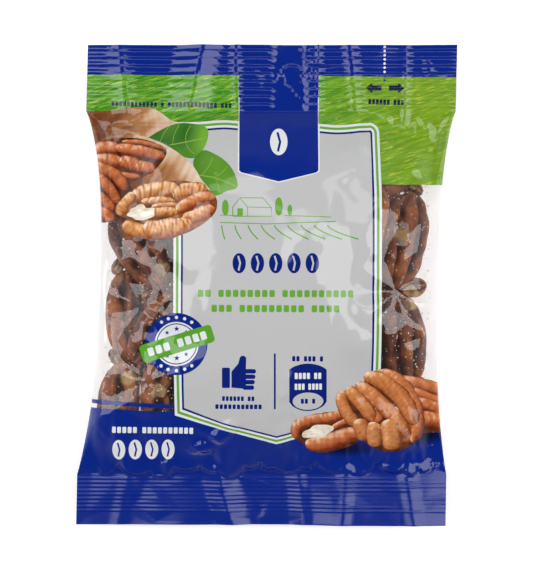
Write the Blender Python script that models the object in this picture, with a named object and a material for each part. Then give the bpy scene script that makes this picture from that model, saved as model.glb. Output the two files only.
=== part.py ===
"""A sealed pillow bag of shelled pecan halves, lying on its back.

One web of clear film is folded into a tube, joined down the back by a fin seal that is folded flat,
and closed at each end by a ribbed heat seal. The tube holds loose pecan halves. +Y runs to the
header seal, +Z is the front of the bag, and the origin is under its middle, on the surface it lies on.
"""

import math

import bmesh
import bpy
import numpy as np
from mathutils import Matrix

# The bag, laid flat (metres)
FLAT_WIDTH = 0.120
BAG_LENGTH = 0.156
HEADER_SEAL = 0.0217
FOOT_SEAL = 0.0165
FILM = 0.0004  # drawn thicker than the real 0.06 mm laminate
GAP = 0.0003  # between pieces that touch

# The filled pillow
CROWN_HEIGHT = 0.0275
FOLD_HEIGHT = 0.0115
SEAL_HEIGHT = 0.0095
WAIST_PULL = 0.0062  # how far each side fold is drawn in at the waist
LEAN = 0.0040  # how far the header is off to the right of the foot
FLAT_SHARE = 0.90  # the back bulge is cut off flat at this share of its depth

# The fin seal down the back
FIN_WIDTH = 0.010
FIN_THICKNESS = 0.0005

# The heat-seal ribs
HEADER_RIB_PITCH = 0.0024
FOOT_RIB_PITCH = 0.0011
RIB_HEIGHT = 0.0002
SEAL_THICKNESS = 0.0008

# The pecan halves
HALF_COUNT = 34
HALF_LENGTH = 0.0310
HALF_WIDTH = 0.0160
HALF_THICKNESS = 0.0086
SMALLEST, LARGEST = 0.88, 1.04  # of those sizes, because no two halves are alike
DOME_SHARE = 0.6  # of the thickness, on the domed side
TAPER, ROUNDING = 2.3, 1.8  # how blunt its ends are, and how it swells between them
GROOVE_DEPTH = 0.0010
FILL_LOW, FILL_HIGH = 0.023, 0.121  # the stretch of the bag that the halves fill, from its foot

# The halves next to the two clear windows: x, y, z in millimetres, heading and roll in degrees.
# A roll of 0 shows the domed side at the front, 180 the inner side, and 90 an edge.
CHOSEN_LIES = (
    (-42, 8, 19, 100, 20),
    (-34, 12, 10, 82, 180),
    (-46, -7, 18, 137, -15),
    (-47, -18, 12, 33, 10),
    (-43, -29, 17, 72, 30),
    (-33, -39, 12, 8, 0),
    (-34, -24, 9, 100, 180),
    (-40, 26, 16, 70, 0),
    (-46, 14, 8, 95, 170),
    (-33, -4, 8, 80, 180),
    (-47, -34, 9, 80, 190),
    (44, 15, 18, 81, 160),
    (51, 13, 11, 92, 80),
    (43, -10, 19, 68, 10),
    (51, -16, 9, 92, 70),
    (42, -27, 18, 97, -10),
    (38, -5, 10, 82, 190),
    (41, 34, 14, 20, 0),
    (26, -34, 10, 20, 180),
    (39, 18, 8, 70, 180),
    (36, -22, 8, 100, 180),
)
SEED = 21
SPOTS_TRIED = 40  # for each of the other halves, keeping the spot with the most room
SETTLING_STEPS = 500
SWELL = 1.04  # the halves settle as if this much larger, which leaves the gap between them
WALL_CLEARANCE, FILM_CLEARANCE = 0.0014, 0.0013

TUBE_ROWS, TUBE_COLUMNS = 27, 44
HALF_RINGS, HALF_SIDES = 9, 12
GROOVED_SIDES = (1, 4)

BACK_FACE = FIN_THICKNESS + GAP  # the flat of the back, just above the folded fin
TUBE_START = FOOT_SEAL + GAP
TUBE_END = BAG_LENGTH - HEADER_SEAL - GAP


def clear_scene():
    for obj in list(bpy.data.objects):
        bpy.data.objects.remove(obj, do_unlink=True)


def material(name, colour, roughness):
    made = bpy.data.materials.new(name)
    made.use_nodes = True
    shader = made.node_tree.nodes["Principled BSDF"]
    shader.inputs["Base Color"].default_value = (*colour, 1.0)
    shader.inputs["Roughness"].default_value = roughness
    shader.inputs["Metallic"].default_value = 0.0
    return made


def add_object(name, mesh, finish):
    mesh.materials.append(finish)
    mesh.shade_smooth()
    mesh.set_sharp_from_angle(angle=math.radians(40))
    obj = bpy.data.objects.new(name, mesh)
    bpy.context.scene.collection.objects.link(obj)
    return obj


def mesh_from(name, points, faces):
    mesh = bpy.data.meshes.new(name)
    mesh.from_pydata([tuple(p) for p in points], [], faces)
    work = bmesh.new()
    work.from_mesh(mesh)
    bmesh.ops.recalc_face_normals(work, faces=work.faces)
    work.to_mesh(mesh)
    work.free()
    return mesh


# ---- The pillow's shape, as functions of the distance from the bag's foot ----


def fullness(length):
    """0 at either seal and 1 where the tube is fullest, a little above its middle."""
    share = np.clip((length - FOOT_SEAL) / (BAG_LENGTH - HEADER_SEAL - FOOT_SEAL), 0, 1)
    skewed = share**1.15
    return (1 - np.abs(2 * skewed - 1) ** 2.6) ** 0.8


def half_width(length):
    return FLAT_WIDTH / 2 - WAIST_PULL * fullness(length)


def middle(length):
    """The frame's X of the bag's centre line."""
    return LEAN * (length / BAG_LENGTH - 0.5)


def fold_height(length):
    return SEAL_HEIGHT + (FOLD_HEIGHT - SEAL_HEIGHT) * fullness(length)


def slot(length):
    """Half the height of the slot that the tube flattens to at its seals."""
    return (FILM + GAP) * (1 - fullness(length))


def front_height(across, length):
    """Outside height of the front, where across runs from -1 to 1 between the side folds."""
    crown = (CROWN_HEIGHT - fold_height(length)) * fullness(length)
    arch = np.clip(1 - np.abs(across) ** 2.6, 0, 1) ** 0.5
    return fold_height(length) + slot(length) + crown * arch


def back_height(across, length):
    """Outside height of the back: a shallower bulge, cut off where it lies flat."""
    depth = (fold_height(length) - BACK_FACE) / FLAT_SHARE * fullness(length)
    arch = np.clip(1 - np.abs(across) ** 3.4, 0, 1) ** 0.5
    return np.maximum(fold_height(length) - slot(length) - depth * arch, BACK_FACE)


def along(length):
    """The frame's Y of a point this far from the bag's foot."""
    return length - BAG_LENGTH / 2


# ---- The film ----


def film_tube(finish):
    """The tube of film between the two end seals, open at both ends."""
    lengths = TUBE_START + (TUBE_END - TUBE_START) * (
        0.5 - 0.5 * np.cos(np.linspace(0, math.pi, TUBE_ROWS))
    )
    points = []
    for length in lengths:
        for turn in np.arange(TUBE_COLUMNS) / TUBE_COLUMNS * 2 * math.pi:
            across = math.copysign(abs(math.cos(turn)) ** 0.8, math.cos(turn))
            if math.sin(turn) > 1e-9:
                height = front_height(across, length)
            elif math.sin(turn) < -1e-9:
                height = back_height(across, length)
            else:
                height = fold_height(length)
            points.append((middle(length) + across * half_width(length), along(length), height))
    faces = []
    for row in range(TUBE_ROWS - 1):
        for column in range(TUBE_COLUMNS):
            beside = (column + 1) % TUBE_COLUMNS
            a, b = row * TUBE_COLUMNS, (row + 1) * TUBE_COLUMNS
            faces.append((a + column, b + column, b + beside, a + beside))
    mesh = bpy.data.meshes.new("film_tube")
    mesh.from_pydata(points, [], faces)
    obj = add_object("film_tube", mesh, finish)
    wall = obj.modifiers.new("wall", "SOLIDIFY")
    wall.thickness = FILM
    wall.offset = -1
    wall.use_rim = True
    return obj


def end_seal(name, start, end, pitch, plain, finish):
    """A flat fused strip with ribs across it, and a plain lip this wide along its cut edge."""
    ribbed = (start, end - plain) if start > BAG_LENGTH / 2 else (start + plain, end)
    count = int((ribbed[1] - ribbed[0]) / pitch)
    steps = [start]
    heights = [0.0]
    for rib in range(count):
        base = ribbed[0] + rib * pitch
        steps += [base + 0.25 * pitch, base + 0.75 * pitch]
        heights += [0.0, RIB_HEIGHT]
    steps.append(end)
    heights.append(0.0)
    half = SEAL_THICKNESS / 2
    upper = [(y, SEAL_HEIGHT + half + h) for y, h in zip(steps, heights)]
    lower = [(y, SEAL_HEIGHT - half + h) for y, h in zip(steps, heights)]
    outline = upper + lower[::-1]
    work = bmesh.new()
    centre = middle((start + end) / 2)
    left = [work.verts.new((centre - FLAT_WIDTH / 2, along(y), z)) for y, z in outline]
    right = [work.verts.new((centre + FLAT_WIDTH / 2, along(y), z)) for y, z in outline]
    last = len(outline)
    for i in range(last):
        work.faces.new((left[i], left[(i + 1) % last], right[(i + 1) % last], right[i]))
    for side in (left, right):
        for i in range(len(steps) - 1):
            work.faces.new((side[i], side[i + 1], side[last - 2 - i], side[last - 1 - i]))
    bmesh.ops.recalc_face_normals(work, faces=work.faces)
    mesh = bpy.data.meshes.new(name)
    work.to_mesh(mesh)
    work.free()
    return add_object(name, mesh, finish)


def back_fin(finish):
    """The seam where the web's two edges are sealed together, folded flat under the back."""
    lengths = np.linspace(TUBE_START, TUBE_END, 25)
    points = []
    for length in lengths:
        top = float(back_height(0.0, length)) - GAP
        for x, z in (
            (-FIN_WIDTH / 2, top - FIN_THICKNESS),
            (FIN_WIDTH / 2, top - FIN_THICKNESS),
            (FIN_WIDTH / 2, top),
            (-FIN_WIDTH / 2, top),
        ):
            points.append((middle(length) + x, along(length), z))
    faces = []
    for row in range(len(lengths) - 1):
        for side in range(4):
            a, b = row * 4 + side, row * 4 + (side + 1) % 4
            faces.append((a, b, b + 4, a + 4))
    last = len(points) - 4
    faces += [(3, 2, 1, 0), (last, last + 1, last + 2, last + 3)]
    return add_object("back_fin_seal", mesh_from("back_fin_seal", points, faces), finish)


# ---- The pecan halves ----


def half_shape():
    """Points and faces of one pecan half: long in X, domed side up, a groove along each cheek."""
    points = [(-HALF_LENGTH / 2, 0, 0)]
    for ring in range(1, HALF_RINGS + 1):
        share = -math.cos(math.pi * ring / (HALF_RINGS + 1))
        girth = (1 - abs(share) ** TAPER) ** (1 / ROUNDING)
        for side in range(HALF_SIDES):
            turn = 2 * math.pi * (side + 0.5) / HALF_SIDES
            domed = math.sin(turn) > 0
            grooved = domed and side in GROOVED_SIDES
            reach = girth - (GROOVE_DEPTH / HALF_THICKNESS * girth if grooved else 0)
            rise = HALF_THICKNESS * (DOME_SHARE if domed else 1 - DOME_SHARE)
            y = HALF_WIDTH / 2 * reach * math.cos(turn)
            z = rise * reach * math.sin(turn)
            points.append((share * HALF_LENGTH / 2, y, z))
    points.append((HALF_LENGTH / 2, 0, 0))
    faces = []
    for side in range(HALF_SIDES):
        beside = (side + 1) % HALF_SIDES
        faces.append((0, 1 + beside, 1 + side))
        for ring in range(HALF_RINGS - 1):
            a, b = 1 + ring * HALF_SIDES, 1 + (ring + 1) * HALF_SIDES
            faces.append((a + side, a + beside, b + beside, b + side))
        end = 1 + (HALF_RINGS - 1) * HALF_SIDES
        faces.append((end + side, end + beside, len(points) - 1))
    return np.array(points), faces


def inside_half(local):
    """How far points in a half's own frame lie inside its swollen surface, and the way out."""
    rise = np.where(local[..., 2] > 0, DOME_SHARE, 1 - DOME_SHARE) * HALF_THICKNESS
    scale = np.stack((np.full_like(rise, HALF_LENGTH / 2), np.full_like(rise, HALF_WIDTH / 2), rise), -1)
    scale *= SWELL
    unit = local / scale
    along_it = np.abs(unit[..., 0]) + 1e-9
    around = np.hypot(unit[..., 1], unit[..., 2]) + 1e-9
    level = along_it**TAPER + around**ROUNDING
    slope = np.empty_like(local)
    slope[..., 0] = TAPER * along_it ** (TAPER - 1) * np.sign(unit[..., 0]) / scale[..., 0]
    ring_slope = ROUNDING * around ** (ROUNDING - 1) / around
    slope[..., 1] = ring_slope * unit[..., 1] / scale[..., 1]
    slope[..., 2] = ring_slope * unit[..., 2] / scale[..., 2]
    steepness = np.linalg.norm(slope, axis=-1) + 1e-9
    depth = np.clip((1 - level) / steepness, 0, HALF_THICKNESS / 2)
    return depth, slope / steepness[..., None]


def turned(rotations, vectors):
    """These rotation matrices, each turned further by a small vector."""
    angles = np.linalg.norm(vectors, axis=1)
    axes = vectors / np.maximum(angles, 1e-12)[:, None]
    skew = np.zeros((len(vectors), 3, 3))
    skew[:, 0, 1], skew[:, 0, 2] = -axes[:, 2], axes[:, 1]
    skew[:, 1, 0], skew[:, 1, 2] = axes[:, 2], -axes[:, 0]
    skew[:, 2, 0], skew[:, 2, 1] = -axes[:, 1], axes[:, 0]
    sine, versine = np.sin(angles)[:, None, None], (1 - np.cos(angles))[:, None, None]
    return (np.eye(3) + sine * skew + versine * (skew @ skew)) @ rotations


def starting_lies():
    """Centres and rotations of the halves before they settle: the chosen ones, then the rest."""
    random = np.random.default_rng(SEED)
    lies = list(CHOSEN_LIES)
    while len(lies) < HALF_COUNT:
        spots = random.uniform((-30, -40, 7), (30, 38, 20), (SPOTS_TRIED, 3))
        taken = np.array([lie[:3] for lie in lies])
        room = (np.linalg.norm((spots[:, None] - taken) * (1, 1, 1.5), axis=2)).min(1)
        flip = 180 * (random.random() < 0.4)
        lies.append((*spots[room.argmax()], random.uniform(0, 180), flip))
    centres = np.array([lie[:3] for lie in lies]) / 1000
    rotations = []
    for *_, heading, roll in lies:
        turn = Matrix.Rotation(math.radians(heading), 3, "Z") @ Matrix.Rotation(math.radians(roll), 3, "X")
        rotations.append(np.array(turn))
    return centres, np.array(rotations)


def pressed_by_film(places):
    """How far each point must move to come back inside the film."""
    length = places[..., 1] + BAG_LENGTH / 2
    wall = half_width(length) - WALL_CLEARANCE
    sideways = places[..., 0] - middle(length)
    across = np.clip(sideways / wall, -1, 1)
    move = np.zeros_like(places)
    move[..., 0] -= np.sign(sideways) * np.maximum(np.abs(sideways) - wall, 0)
    move[..., 1] += np.maximum(FILL_LOW - length, 0) - np.maximum(length - FILL_HIGH, 0)
    move[..., 2] -= np.maximum(places[..., 2] - front_height(across, length) + FILM_CLEARANCE, 0)
    move[..., 2] += np.maximum(back_height(across, length) + FILM_CLEARANCE - places[..., 2], 0)
    return move


def settled(points, sizes):
    """Centres and rotations of the halves once they no longer press into each other or the film."""
    centres, rotations = starting_lies()
    sizes = sizes[:, None, None]
    others = ~np.eye(HALF_COUNT, dtype=bool)[:, None, :]
    arm_squared = HALF_LENGTH**2 / 12
    for _ in range(SETTLING_STEPS):
        arms = np.einsum("bij,pj->bpi", rotations, points * SWELL) * sizes
        places = centres[:, None, :] + arms
        offset = places[:, :, None, :] - centres[None, None, :, :]
        local = np.einsum("cji,bpcj->bpci", rotations, offset) / sizes[None, None, :, 0]
        depth, outward = inside_half(local)
        depth = depth * sizes[None, None, :, 0, 0] * others
        push = np.einsum("cij,bpcj->bpci", rotations, outward) * depth[..., None]
        film = pressed_by_film(places)
        moved = push.sum(2) + film
        touching = (depth > 0).sum((1, 2)) + (depth > 0).sum((0, 1)) + (np.abs(film).sum(-1) > 0).sum(1)
        share = 1.2 / np.maximum(touching, 4)[:, None]
        twist = np.cross(arms, moved).sum(1) - np.cross(offset, push).sum((0, 1))
        centres = centres + share * (moved.sum(1) - push.sum((0, 1)))
        rotations = turned(rotations, np.clip(share * twist / arm_squared, -0.08, 0.08))
    return centres, rotations


def pecan_halves(finish):
    points, faces = half_shape()
    sizes = np.random.default_rng(SEED).uniform(SMALLEST, LARGEST, HALF_COUNT)
    centres, rotations = settled(points, sizes)
    for number, (centre, rotation, size) in enumerate(zip(centres, rotations, sizes), start=1):
        name = f"pecan_half_{number:02d}"
        obj = add_object(name, mesh_from(name, points * size, faces), finish)
        obj.matrix_world = Matrix.Translation(centre) @ Matrix(rotation).to_4x4()


def build():
    clear_scene()
    film = material("clear_film", (0.80, 0.81, 0.83), 0.15)
    blue = material("blue_seal", (0.02, 0.05, 0.35), 0.25)
    kernel = material("pecan_kernel", (0.30, 0.12, 0.05), 0.45)
    film_tube(film)
    end_seal("header_seal", BAG_LENGTH - HEADER_SEAL, BAG_LENGTH, HEADER_RIB_PITCH, 0.001, blue)
    end_seal("foot_seal", 0.0, FOOT_SEAL, FOOT_RIB_PITCH, 0.0035, blue)
    back_fin(film)
    pecan_halves(kernel)


build()
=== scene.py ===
"""A sealed pillow bag of shelled pecan halves, lying on its back: contents, film, print and setting."""

import math

import bmesh
import bpy
import numpy as np
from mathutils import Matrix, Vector, geometry
from mathutils.bvhtree import BVHTree


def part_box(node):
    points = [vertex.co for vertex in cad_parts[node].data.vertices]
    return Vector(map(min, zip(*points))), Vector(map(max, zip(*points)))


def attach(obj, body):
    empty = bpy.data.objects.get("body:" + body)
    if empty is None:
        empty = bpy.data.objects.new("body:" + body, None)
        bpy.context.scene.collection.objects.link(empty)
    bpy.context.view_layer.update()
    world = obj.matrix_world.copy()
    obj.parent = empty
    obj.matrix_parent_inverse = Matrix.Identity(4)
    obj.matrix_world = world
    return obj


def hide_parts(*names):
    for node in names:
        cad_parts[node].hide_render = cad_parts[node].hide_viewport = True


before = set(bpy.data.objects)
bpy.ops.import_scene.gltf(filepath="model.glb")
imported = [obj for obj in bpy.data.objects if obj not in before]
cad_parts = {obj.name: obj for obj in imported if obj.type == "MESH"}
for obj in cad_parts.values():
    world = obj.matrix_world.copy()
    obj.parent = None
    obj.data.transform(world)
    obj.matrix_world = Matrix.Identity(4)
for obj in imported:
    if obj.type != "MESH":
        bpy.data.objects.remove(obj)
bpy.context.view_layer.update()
MM = 0.001

# ---------------------------------------------------------------------------------------------
# The pecan halves. Each is one dried seed leaf: a domed side with two long furrows, and an inner
# side whose two rolled lobes part in a cleft. They lie loose in the bag, each where its node is.
# ---------------------------------------------------------------------------------------------

HALF_TAPER, HALF_ROUNDING = 2.3, 1.8
HALF_STATIONS, HALF_SIDES = 64, 60
FURROW_AT, FURROW_WIDTH, FURROW_DEPTH = 0.40, 0.12, 0.70
SKIN_LIGHT, SKIN_MID, SKIN_RED = (0.40, 0.128, 0.040), (0.22, 0.060, 0.020), (0.13, 0.030, 0.013)
# Painted shade: the skin is darkened towards these two colours the deeper it lies in a furrow or crease
SKIN_SHADED, SKIN_DEEP_SHADE = (0.085, 0.019, 0.008), (0.030, 0.008, 0.004)
FLESH = (0.54, 0.35, 0.16)
KNOCK_REACH = 2.8 * MM  # the widest patch where a half has lost its skin
CHIP_EDGE = 9.0  # how sharply the skin ends at such a patch


def set_in_scene(name, data):
    made = bpy.data.objects.new(name, data)
    bpy.context.scene.collection.objects.link(made)
    return made


def store(mesh, name, values):
    """Keeps one number for each vertex, for the mesh's material to read."""
    mesh.attributes.new(name, "FLOAT", "POINT").data.foreach_set("value", values)


def turn_outward(mesh):
    """Makes every face of a closed mesh look out of it."""
    work = bmesh.new()
    work.from_mesh(mesh)
    bmesh.ops.recalc_face_normals(work, faces=work.faces)
    work.to_mesh(mesh)
    work.free()


def add_node(tree, kind, settings=None, inputs=None):
    """A node with its settings, and its inputs given as values or as sockets to join."""
    made = tree.nodes.new(kind)
    for setting, value in (settings or {}).items():
        setattr(made, setting, value)
    for key, value in (inputs or {}).items():
        if isinstance(value, bpy.types.NodeSocket):
            tree.links.new(value, made.inputs[key])
        elif isinstance(value, tuple) and len(value) == 3 and made.inputs[key].type == "RGBA":
            made.inputs[key].default_value = (*value, 1.0)
        else:
            made.inputs[key].default_value = value
    return made


def wavy(s, t, seed, turns):
    """Smooth irregular waves over arrays s and t, between about -1 and 1."""
    random = np.random.default_rng(seed)
    total = 0
    for _ in range(5):
        a, b = random.normal(0, turns, 2)
        total = total + np.sin(a * s + b * t + random.uniform(0, 2 * math.pi))
    return total / 2.6


def half_width_at(s):
    return np.clip(1 - np.abs(s) ** HALF_TAPER, 0, 1) ** (1 / HALF_ROUNDING)


def domed_side(s, t, seed):
    """Height (0 to about 1) of the domed side, s along it and t across it, and how deep each point lies in a
    furrow or crease, which the skin's painted shade follows.
    """
    q = np.clip(t / np.maximum(half_width_at(s), 1e-6), -1, 1)
    dome = (1 - np.abs(q) ** 2.4) ** 0.5 * half_width_at(s) ** 0.8
    along = np.clip(1 - s**6, 0, 1)
    furrow_line = FURROW_AT + 0.09 * wavy(s, np.sign(q), seed, 1.8)
    width = FURROW_WIDTH * (1 + 0.5 * wavy(s, np.sign(q), seed + 4, 2.5))
    furrow = np.exp(-(((np.abs(q) - furrow_line) / width) ** 2)) * along
    cheek = np.clip((np.abs(q) - furrow_line) / 0.25, 0, 1)
    pleats = np.sin(10 * s + 3.4 * wavy(s, t, seed + 1, 2.2) + 3 * q)
    creases = np.clip(-pleats - 0.25, 0, 1) ** 2 * (0.30 + 0.70 * cheek) * along
    lumps = wavy(s, t, seed + 2, 4.5)
    wrinkles = wavy(s, t, seed + 6, 14.0)
    height = dome * (0.98 + 0.16 * lumps + (0.07 + 0.10 * cheek) * pleats + 0.08 * wrinkles)
    height = height - (FURROW_DEPTH * furrow + 0.30 * creases) * dome
    return height, np.clip(furrow + 0.8 * creases - 0.40 * wrinkles - 0.1 * lumps, 0, 1)


def inner_side(s, t, seed):
    """The same for the inner side: two rolled lobes, parted by a cleft that opens towards one end."""
    q = np.clip(t / np.maximum(half_width_at(s), 1e-6), -1, 1)
    rim = (1 - np.abs(q) ** 2.8) ** 0.5 * half_width_at(s) ** 0.8
    opening = 0.11 + 0.17 * np.clip((s + 0.1) / 0.9, 0, 1) ** 1.3
    off_line = q - 0.08 * wavy(s, 0 * s, seed, 1.8)
    cleft = np.exp(-((off_line / opening) ** 2)) * np.clip(1 - s**6, 0, 1)
    fold = np.exp(-(((np.abs(q) - 0.62 - 0.06 * wavy(s, q, seed + 3, 2.5)) / 0.09) ** 2)) * 0.5
    pleats = np.sin(9 * s + 3.2 * wavy(s, t, seed + 1, 2.2) - 4 * np.abs(q))
    creases = np.clip(-pleats - 0.2, 0, 1) ** 2
    lumps = wavy(s, t, seed + 2, 5.0)
    wrinkles = wavy(s, t, seed + 6, 14.0)
    height = rim * (1.05 + 0.16 * lumps + 0.14 * pleats + 0.08 * wrinkles) - 0.80 * cleft * rim
    height = height - (0.34 * fold + 0.26 * creases) * rim
    return height, np.clip(0.9 * cleft + 0.6 * fold + 0.6 * creases - 0.35 * wrinkles, 0, 1)


def half_lie(node):
    """Centre, axes (along, across, out of the dome) and reaches of a half, from its node's mesh."""
    points = np.array([v.co for v in node.data.vertices])
    spread = np.linalg.svd(points - points.mean(0), full_matrices=False)[2]
    reach = (points - points.mean(0)) @ spread[0]
    tips = points[reach.argmin()], points[reach.argmax()]
    centre = (tips[0] + tips[1]) / 2
    along = (tips[1] - tips[0]) / np.linalg.norm(tips[1] - tips[0])
    rest = points - centre
    rest = rest - np.outer(rest @ along, along)
    out = np.linalg.svd(rest, full_matrices=False)[2][1]
    if (rest @ out).max() < -(rest @ out).min():
        out = -out
    widthways = np.cross(out, along)
    sizes = (
        np.linalg.norm(tips[1] - tips[0]) / 2,
        np.abs(rest @ widthways).max(),
        (rest @ out).max(),
        -(rest @ out).min(),
    )
    return centre, np.column_stack((along, widthways, out)), sizes


def pecan_half(name, lie, seed, knock_reach):
    """One detailed half in its lie, with the depth of its creases (which sets the painted shade on its skin)
    and its knocked patch kept as attributes.
    """
    centre, axes, (long, wide, up, down) = lie
    s = -np.cos(np.linspace(0, math.pi, HALF_STATIONS + 2)[1:-1])[:, None]
    turn = 2 * math.pi * np.arange(HALF_SIDES)[None, :] / HALF_SIDES
    t = half_width_at(s) * np.cos(turn) * np.ones_like(s)
    s = s * np.ones_like(turn)
    top, top_crease_shade = domed_side(s, t, seed)
    under, under_crease_shade = inner_side(s, t, seed + 7)
    domed = np.sin(turn) >= 0
    rim = np.abs(np.sin(turn)) ** 0.6
    z = np.where(domed, up * top, -down * under)
    # How deep each point lies in a furrow or crease, kept for the painted shade on the skin
    crease_shade = np.where(domed, top_crease_shade, under_crease_shade) * rim
    edge = 1 + 0.05 * wavy(s * 3, t, seed + 5, 2.0) * (1 - rim)
    local = np.stack((s * long, t * wide * edge, z), -1).reshape(-1, 3)
    local = np.vstack((local, [[-long, 0, 0], [long, 0, 0]]))
    creases = np.append(crease_shade.ravel(), [0.4, 0.4])
    count = HALF_STATIONS * HALF_SIDES
    faces = []
    for ring in range(HALF_STATIONS - 1):
        for side in range(HALF_SIDES):
            beside = (side + 1) % HALF_SIDES
            a, b = ring * HALF_SIDES, (ring + 1) * HALF_SIDES
            faces.append((a + side, b + side, b + beside, a + beside))
    for side in range(HALF_SIDES):
        beside = (side + 1) % HALF_SIDES
        faces.append((count, side, beside))
        faces.append((count + 1, count - HALF_SIDES + beside, count - HALF_SIDES + side))
    points = centre + local @ axes.T
    mesh = bpy.data.meshes.new(name)
    mesh.from_pydata(points.tolist(), [], faces)
    store(mesh, "crease_shade", creases)
    random = np.random.default_rng(seed)
    store(mesh, "shade", np.full(len(points), random.random()))
    knock = random.uniform((-0.9, -0.6), (0.9, 0.6)) * (long, wide)
    away = np.hypot(*(local[:, :2] - knock).T) / (knock_reach * random.uniform(0.4, 1.0))
    away = away + 0.25 * wavy(local[:, 0] / MM, local[:, 1] / MM, seed + 8, 1.2)
    store(mesh, "chipped", np.clip((1 - away) * CHIP_EDGE, 0, 1))
    turn_outward(mesh)
    mesh.shade_smooth()
    return set_in_scene(name, mesh)


class Value:
    """A shader socket used in Python expressions: each operator adds its Math node."""

    def __init__(self, finish, socket):
        self.finish = finish
        self.socket = socket

    def math(self, operation, *terms):
        made = self.finish.node("Math", {"operation": operation}, dict(enumerate(terms)))
        return Value(self.finish, made.outputs[0])

    def __add__(self, other):
        return self.math("ADD", self, other)

    def __radd__(self, other):
        return self.math("ADD", other, self)

    def __rsub__(self, other):
        return self.math("SUBTRACT", other, self)

    def __mul__(self, other):
        return self.math("MULTIPLY", self, other)

    def __rmul__(self, other):
        return self.math("MULTIPLY", other, self)

    def over(self, low, high):
        """0 below low, 1 above high, smooth between."""
        ranged = self.finish.node(
            "MapRange",
            {"interpolation_type": "SMOOTHSTEP"},
            {"Value": self, "From Min": low, "From Max": high},
        )
        return Value(self.finish, ranged.outputs["Result"])


class Finish:
    """A material being built. Every node but the expressions' Math nodes comes from node()."""

    def __init__(self, name):
        self.material = bpy.data.materials.new(name)
        self.material.use_nodes = True
        self.tree = self.material.node_tree
        self.tree.nodes.clear()

    def node(self, kind, settings=None, inputs=None):
        given = {key: getattr(value, "socket", value) for key, value in (inputs or {}).items()}
        return add_node(self.tree, "ShaderNode" + kind, settings, given)

    def attribute(self, name, output="Fac"):
        return Value(self, self.node("Attribute", {"attribute_name": name}).outputs[output])

    def place(self):
        return self.node("TexCoord").outputs["Object"]

    def noise(self, scale, detail=3.0, roughness=0.55, place=None):
        made = self.node(
            "TexNoise",
            None,
            {"Vector": place or self.place(), "Scale": scale, "Detail": detail, "Roughness": roughness},
        )
        return Value(self, made.outputs["Fac"])

    def mix(self, share, first, second):
        made = self.node("Mix", {"data_type": "RGBA"}, {"Factor": share, 6: first, 7: second})
        return made.outputs[2]

    def bump(self, height, distance, strength=1.0):
        made = self.node("Bump", None, {"Height": height, "Distance": distance, "Strength": strength})
        return made.outputs["Normal"]

    def surface(self, shader):
        output = self.node("OutputMaterial")
        self.tree.links.new(shader.outputs[0], output.inputs["Surface"])
        return self.material


def kernel_skin():
    finish = Finish("pecan_skin")
    crease_shade = finish.attribute("crease_shade")
    shade = finish.attribute("shade")
    patches = finish.noise(160, 4)
    grain = finish.noise(900, 3)
    plain = finish.mix(shade, SKIN_RED, SKIN_MID)
    tone = finish.mix((patches + 0.25 * shade).over(0.42, 0.78), plain, SKIN_LIGHT)
    # Painted shade: the skin darkens the deeper it lies in a furrow or crease, and less on raised wrinkles
    # and lumps
    tone = finish.mix(crease_shade.over(0.10, 0.60) * 0.65, tone, SKIN_SHADED)
    tone = finish.mix(crease_shade.over(0.45, 0.95) * 0.95, tone, SKIN_DEEP_SHADE)
    scuffs = finish.noise(420, 5, 0.7).over(0.66, 0.72) * (1 - crease_shade)
    tone = finish.mix(scuffs * 0.35, tone, FLESH)
    chips = finish.attribute("chipped") * finish.noise(500, 3).over(0.30, 0.42)
    tone = finish.mix(chips * 0.9, tone, FLESH)
    skin = finish.node(
        "BsdfPrincipled",
        None,
        {
            "Base Color": tone,
            "Roughness": 0.34 + 0.22 * grain,
            "Normal": finish.bump(0.6 * grain + patches + finish.noise(380, 4), 0.0005, 0.8),
            "Specular IOR Level": 0.3,
        },
    )
    return finish.surface(skin)


skin_material = kernel_skin()
halves = []
half_nodes = sorted(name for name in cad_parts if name.startswith("pecan_half_"))
for number, node_name in enumerate(half_nodes, start=1):
    lie = half_lie(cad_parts[node_name])
    kernel = pecan_half(f"kernel_{number:02d}", lie, 100 + 13 * number, KNOCK_REACH)
    kernel.data.materials.append(skin_material)
    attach(kernel, "root")
    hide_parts(node_name)
    halves.append(kernel)

# ---------------------------------------------------------------------------------------------
# The broken bits: corners that have snapped off halves in the filling. They are of the same nut,
# with more of the pale flesh bare, and have dropped into the gaps between the whole halves.
# ---------------------------------------------------------------------------------------------

BIT_HEIGHT, BIT_UP, BIT_DOWN = 11.0 * MM, 3.0 * MM, 2.4 * MM
BIT_KNOCK = 2.6 * MM
# Place (mm), reach along and across (mm), and turn (degrees)
BITS = (
    (-37.2, -2.6, 3.6, 2.6, 20), (-41.2, -28.0, 4.6, 2.8, 80), (-48.0, 6.2, 3.2, 2.0, 60),
    (47.6, -0.8, 4.4, 3.2, 15), (-49.0, -23.4, 3.0, 2.0, 120), (47.2, 31.4, 3.8, 2.8, -30),
    (-30.2, 8.4, 3.0, 2.4, 40), (33.8, 7.6, 3.0, 2.2, 100),
)
bits = []
for number, (x, y, long, wide, turn) in enumerate(BITS, start=1):
    c, s = math.cos(math.radians(turn)), math.sin(math.radians(turn))
    axes = np.array(((c, -s, 0), (s, c, 0), (0, 0, 1)))
    lie = np.array((x * MM, y * MM, BIT_HEIGHT)), axes, (long * MM, wide * MM, BIT_UP, BIT_DOWN)
    bit = pecan_half(f"bit_{number}", lie, 900 + 7 * number, BIT_KNOCK)
    bit.data.materials.append(skin_material)
    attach(bit, "root")
    bits.append(bit)

# ---------------------------------------------------------------------------------------------
# The setting: a plain lit floor, a soft box on either side and one beyond the foot, and a long
# lens straight above, because the bag lies on its back with its printed front up.
# ---------------------------------------------------------------------------------------------

LENS = 100.0
SENSOR = 36.0
VIEW_HEIGHT = 0.1853  # how much of the seals' plane the longer side of the view takes in
WALLS_LOW, WALLS_HIGH = 0.9, 0.09
FLOOR, FLOOR_GLOW = 3.0, 0.4


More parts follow.
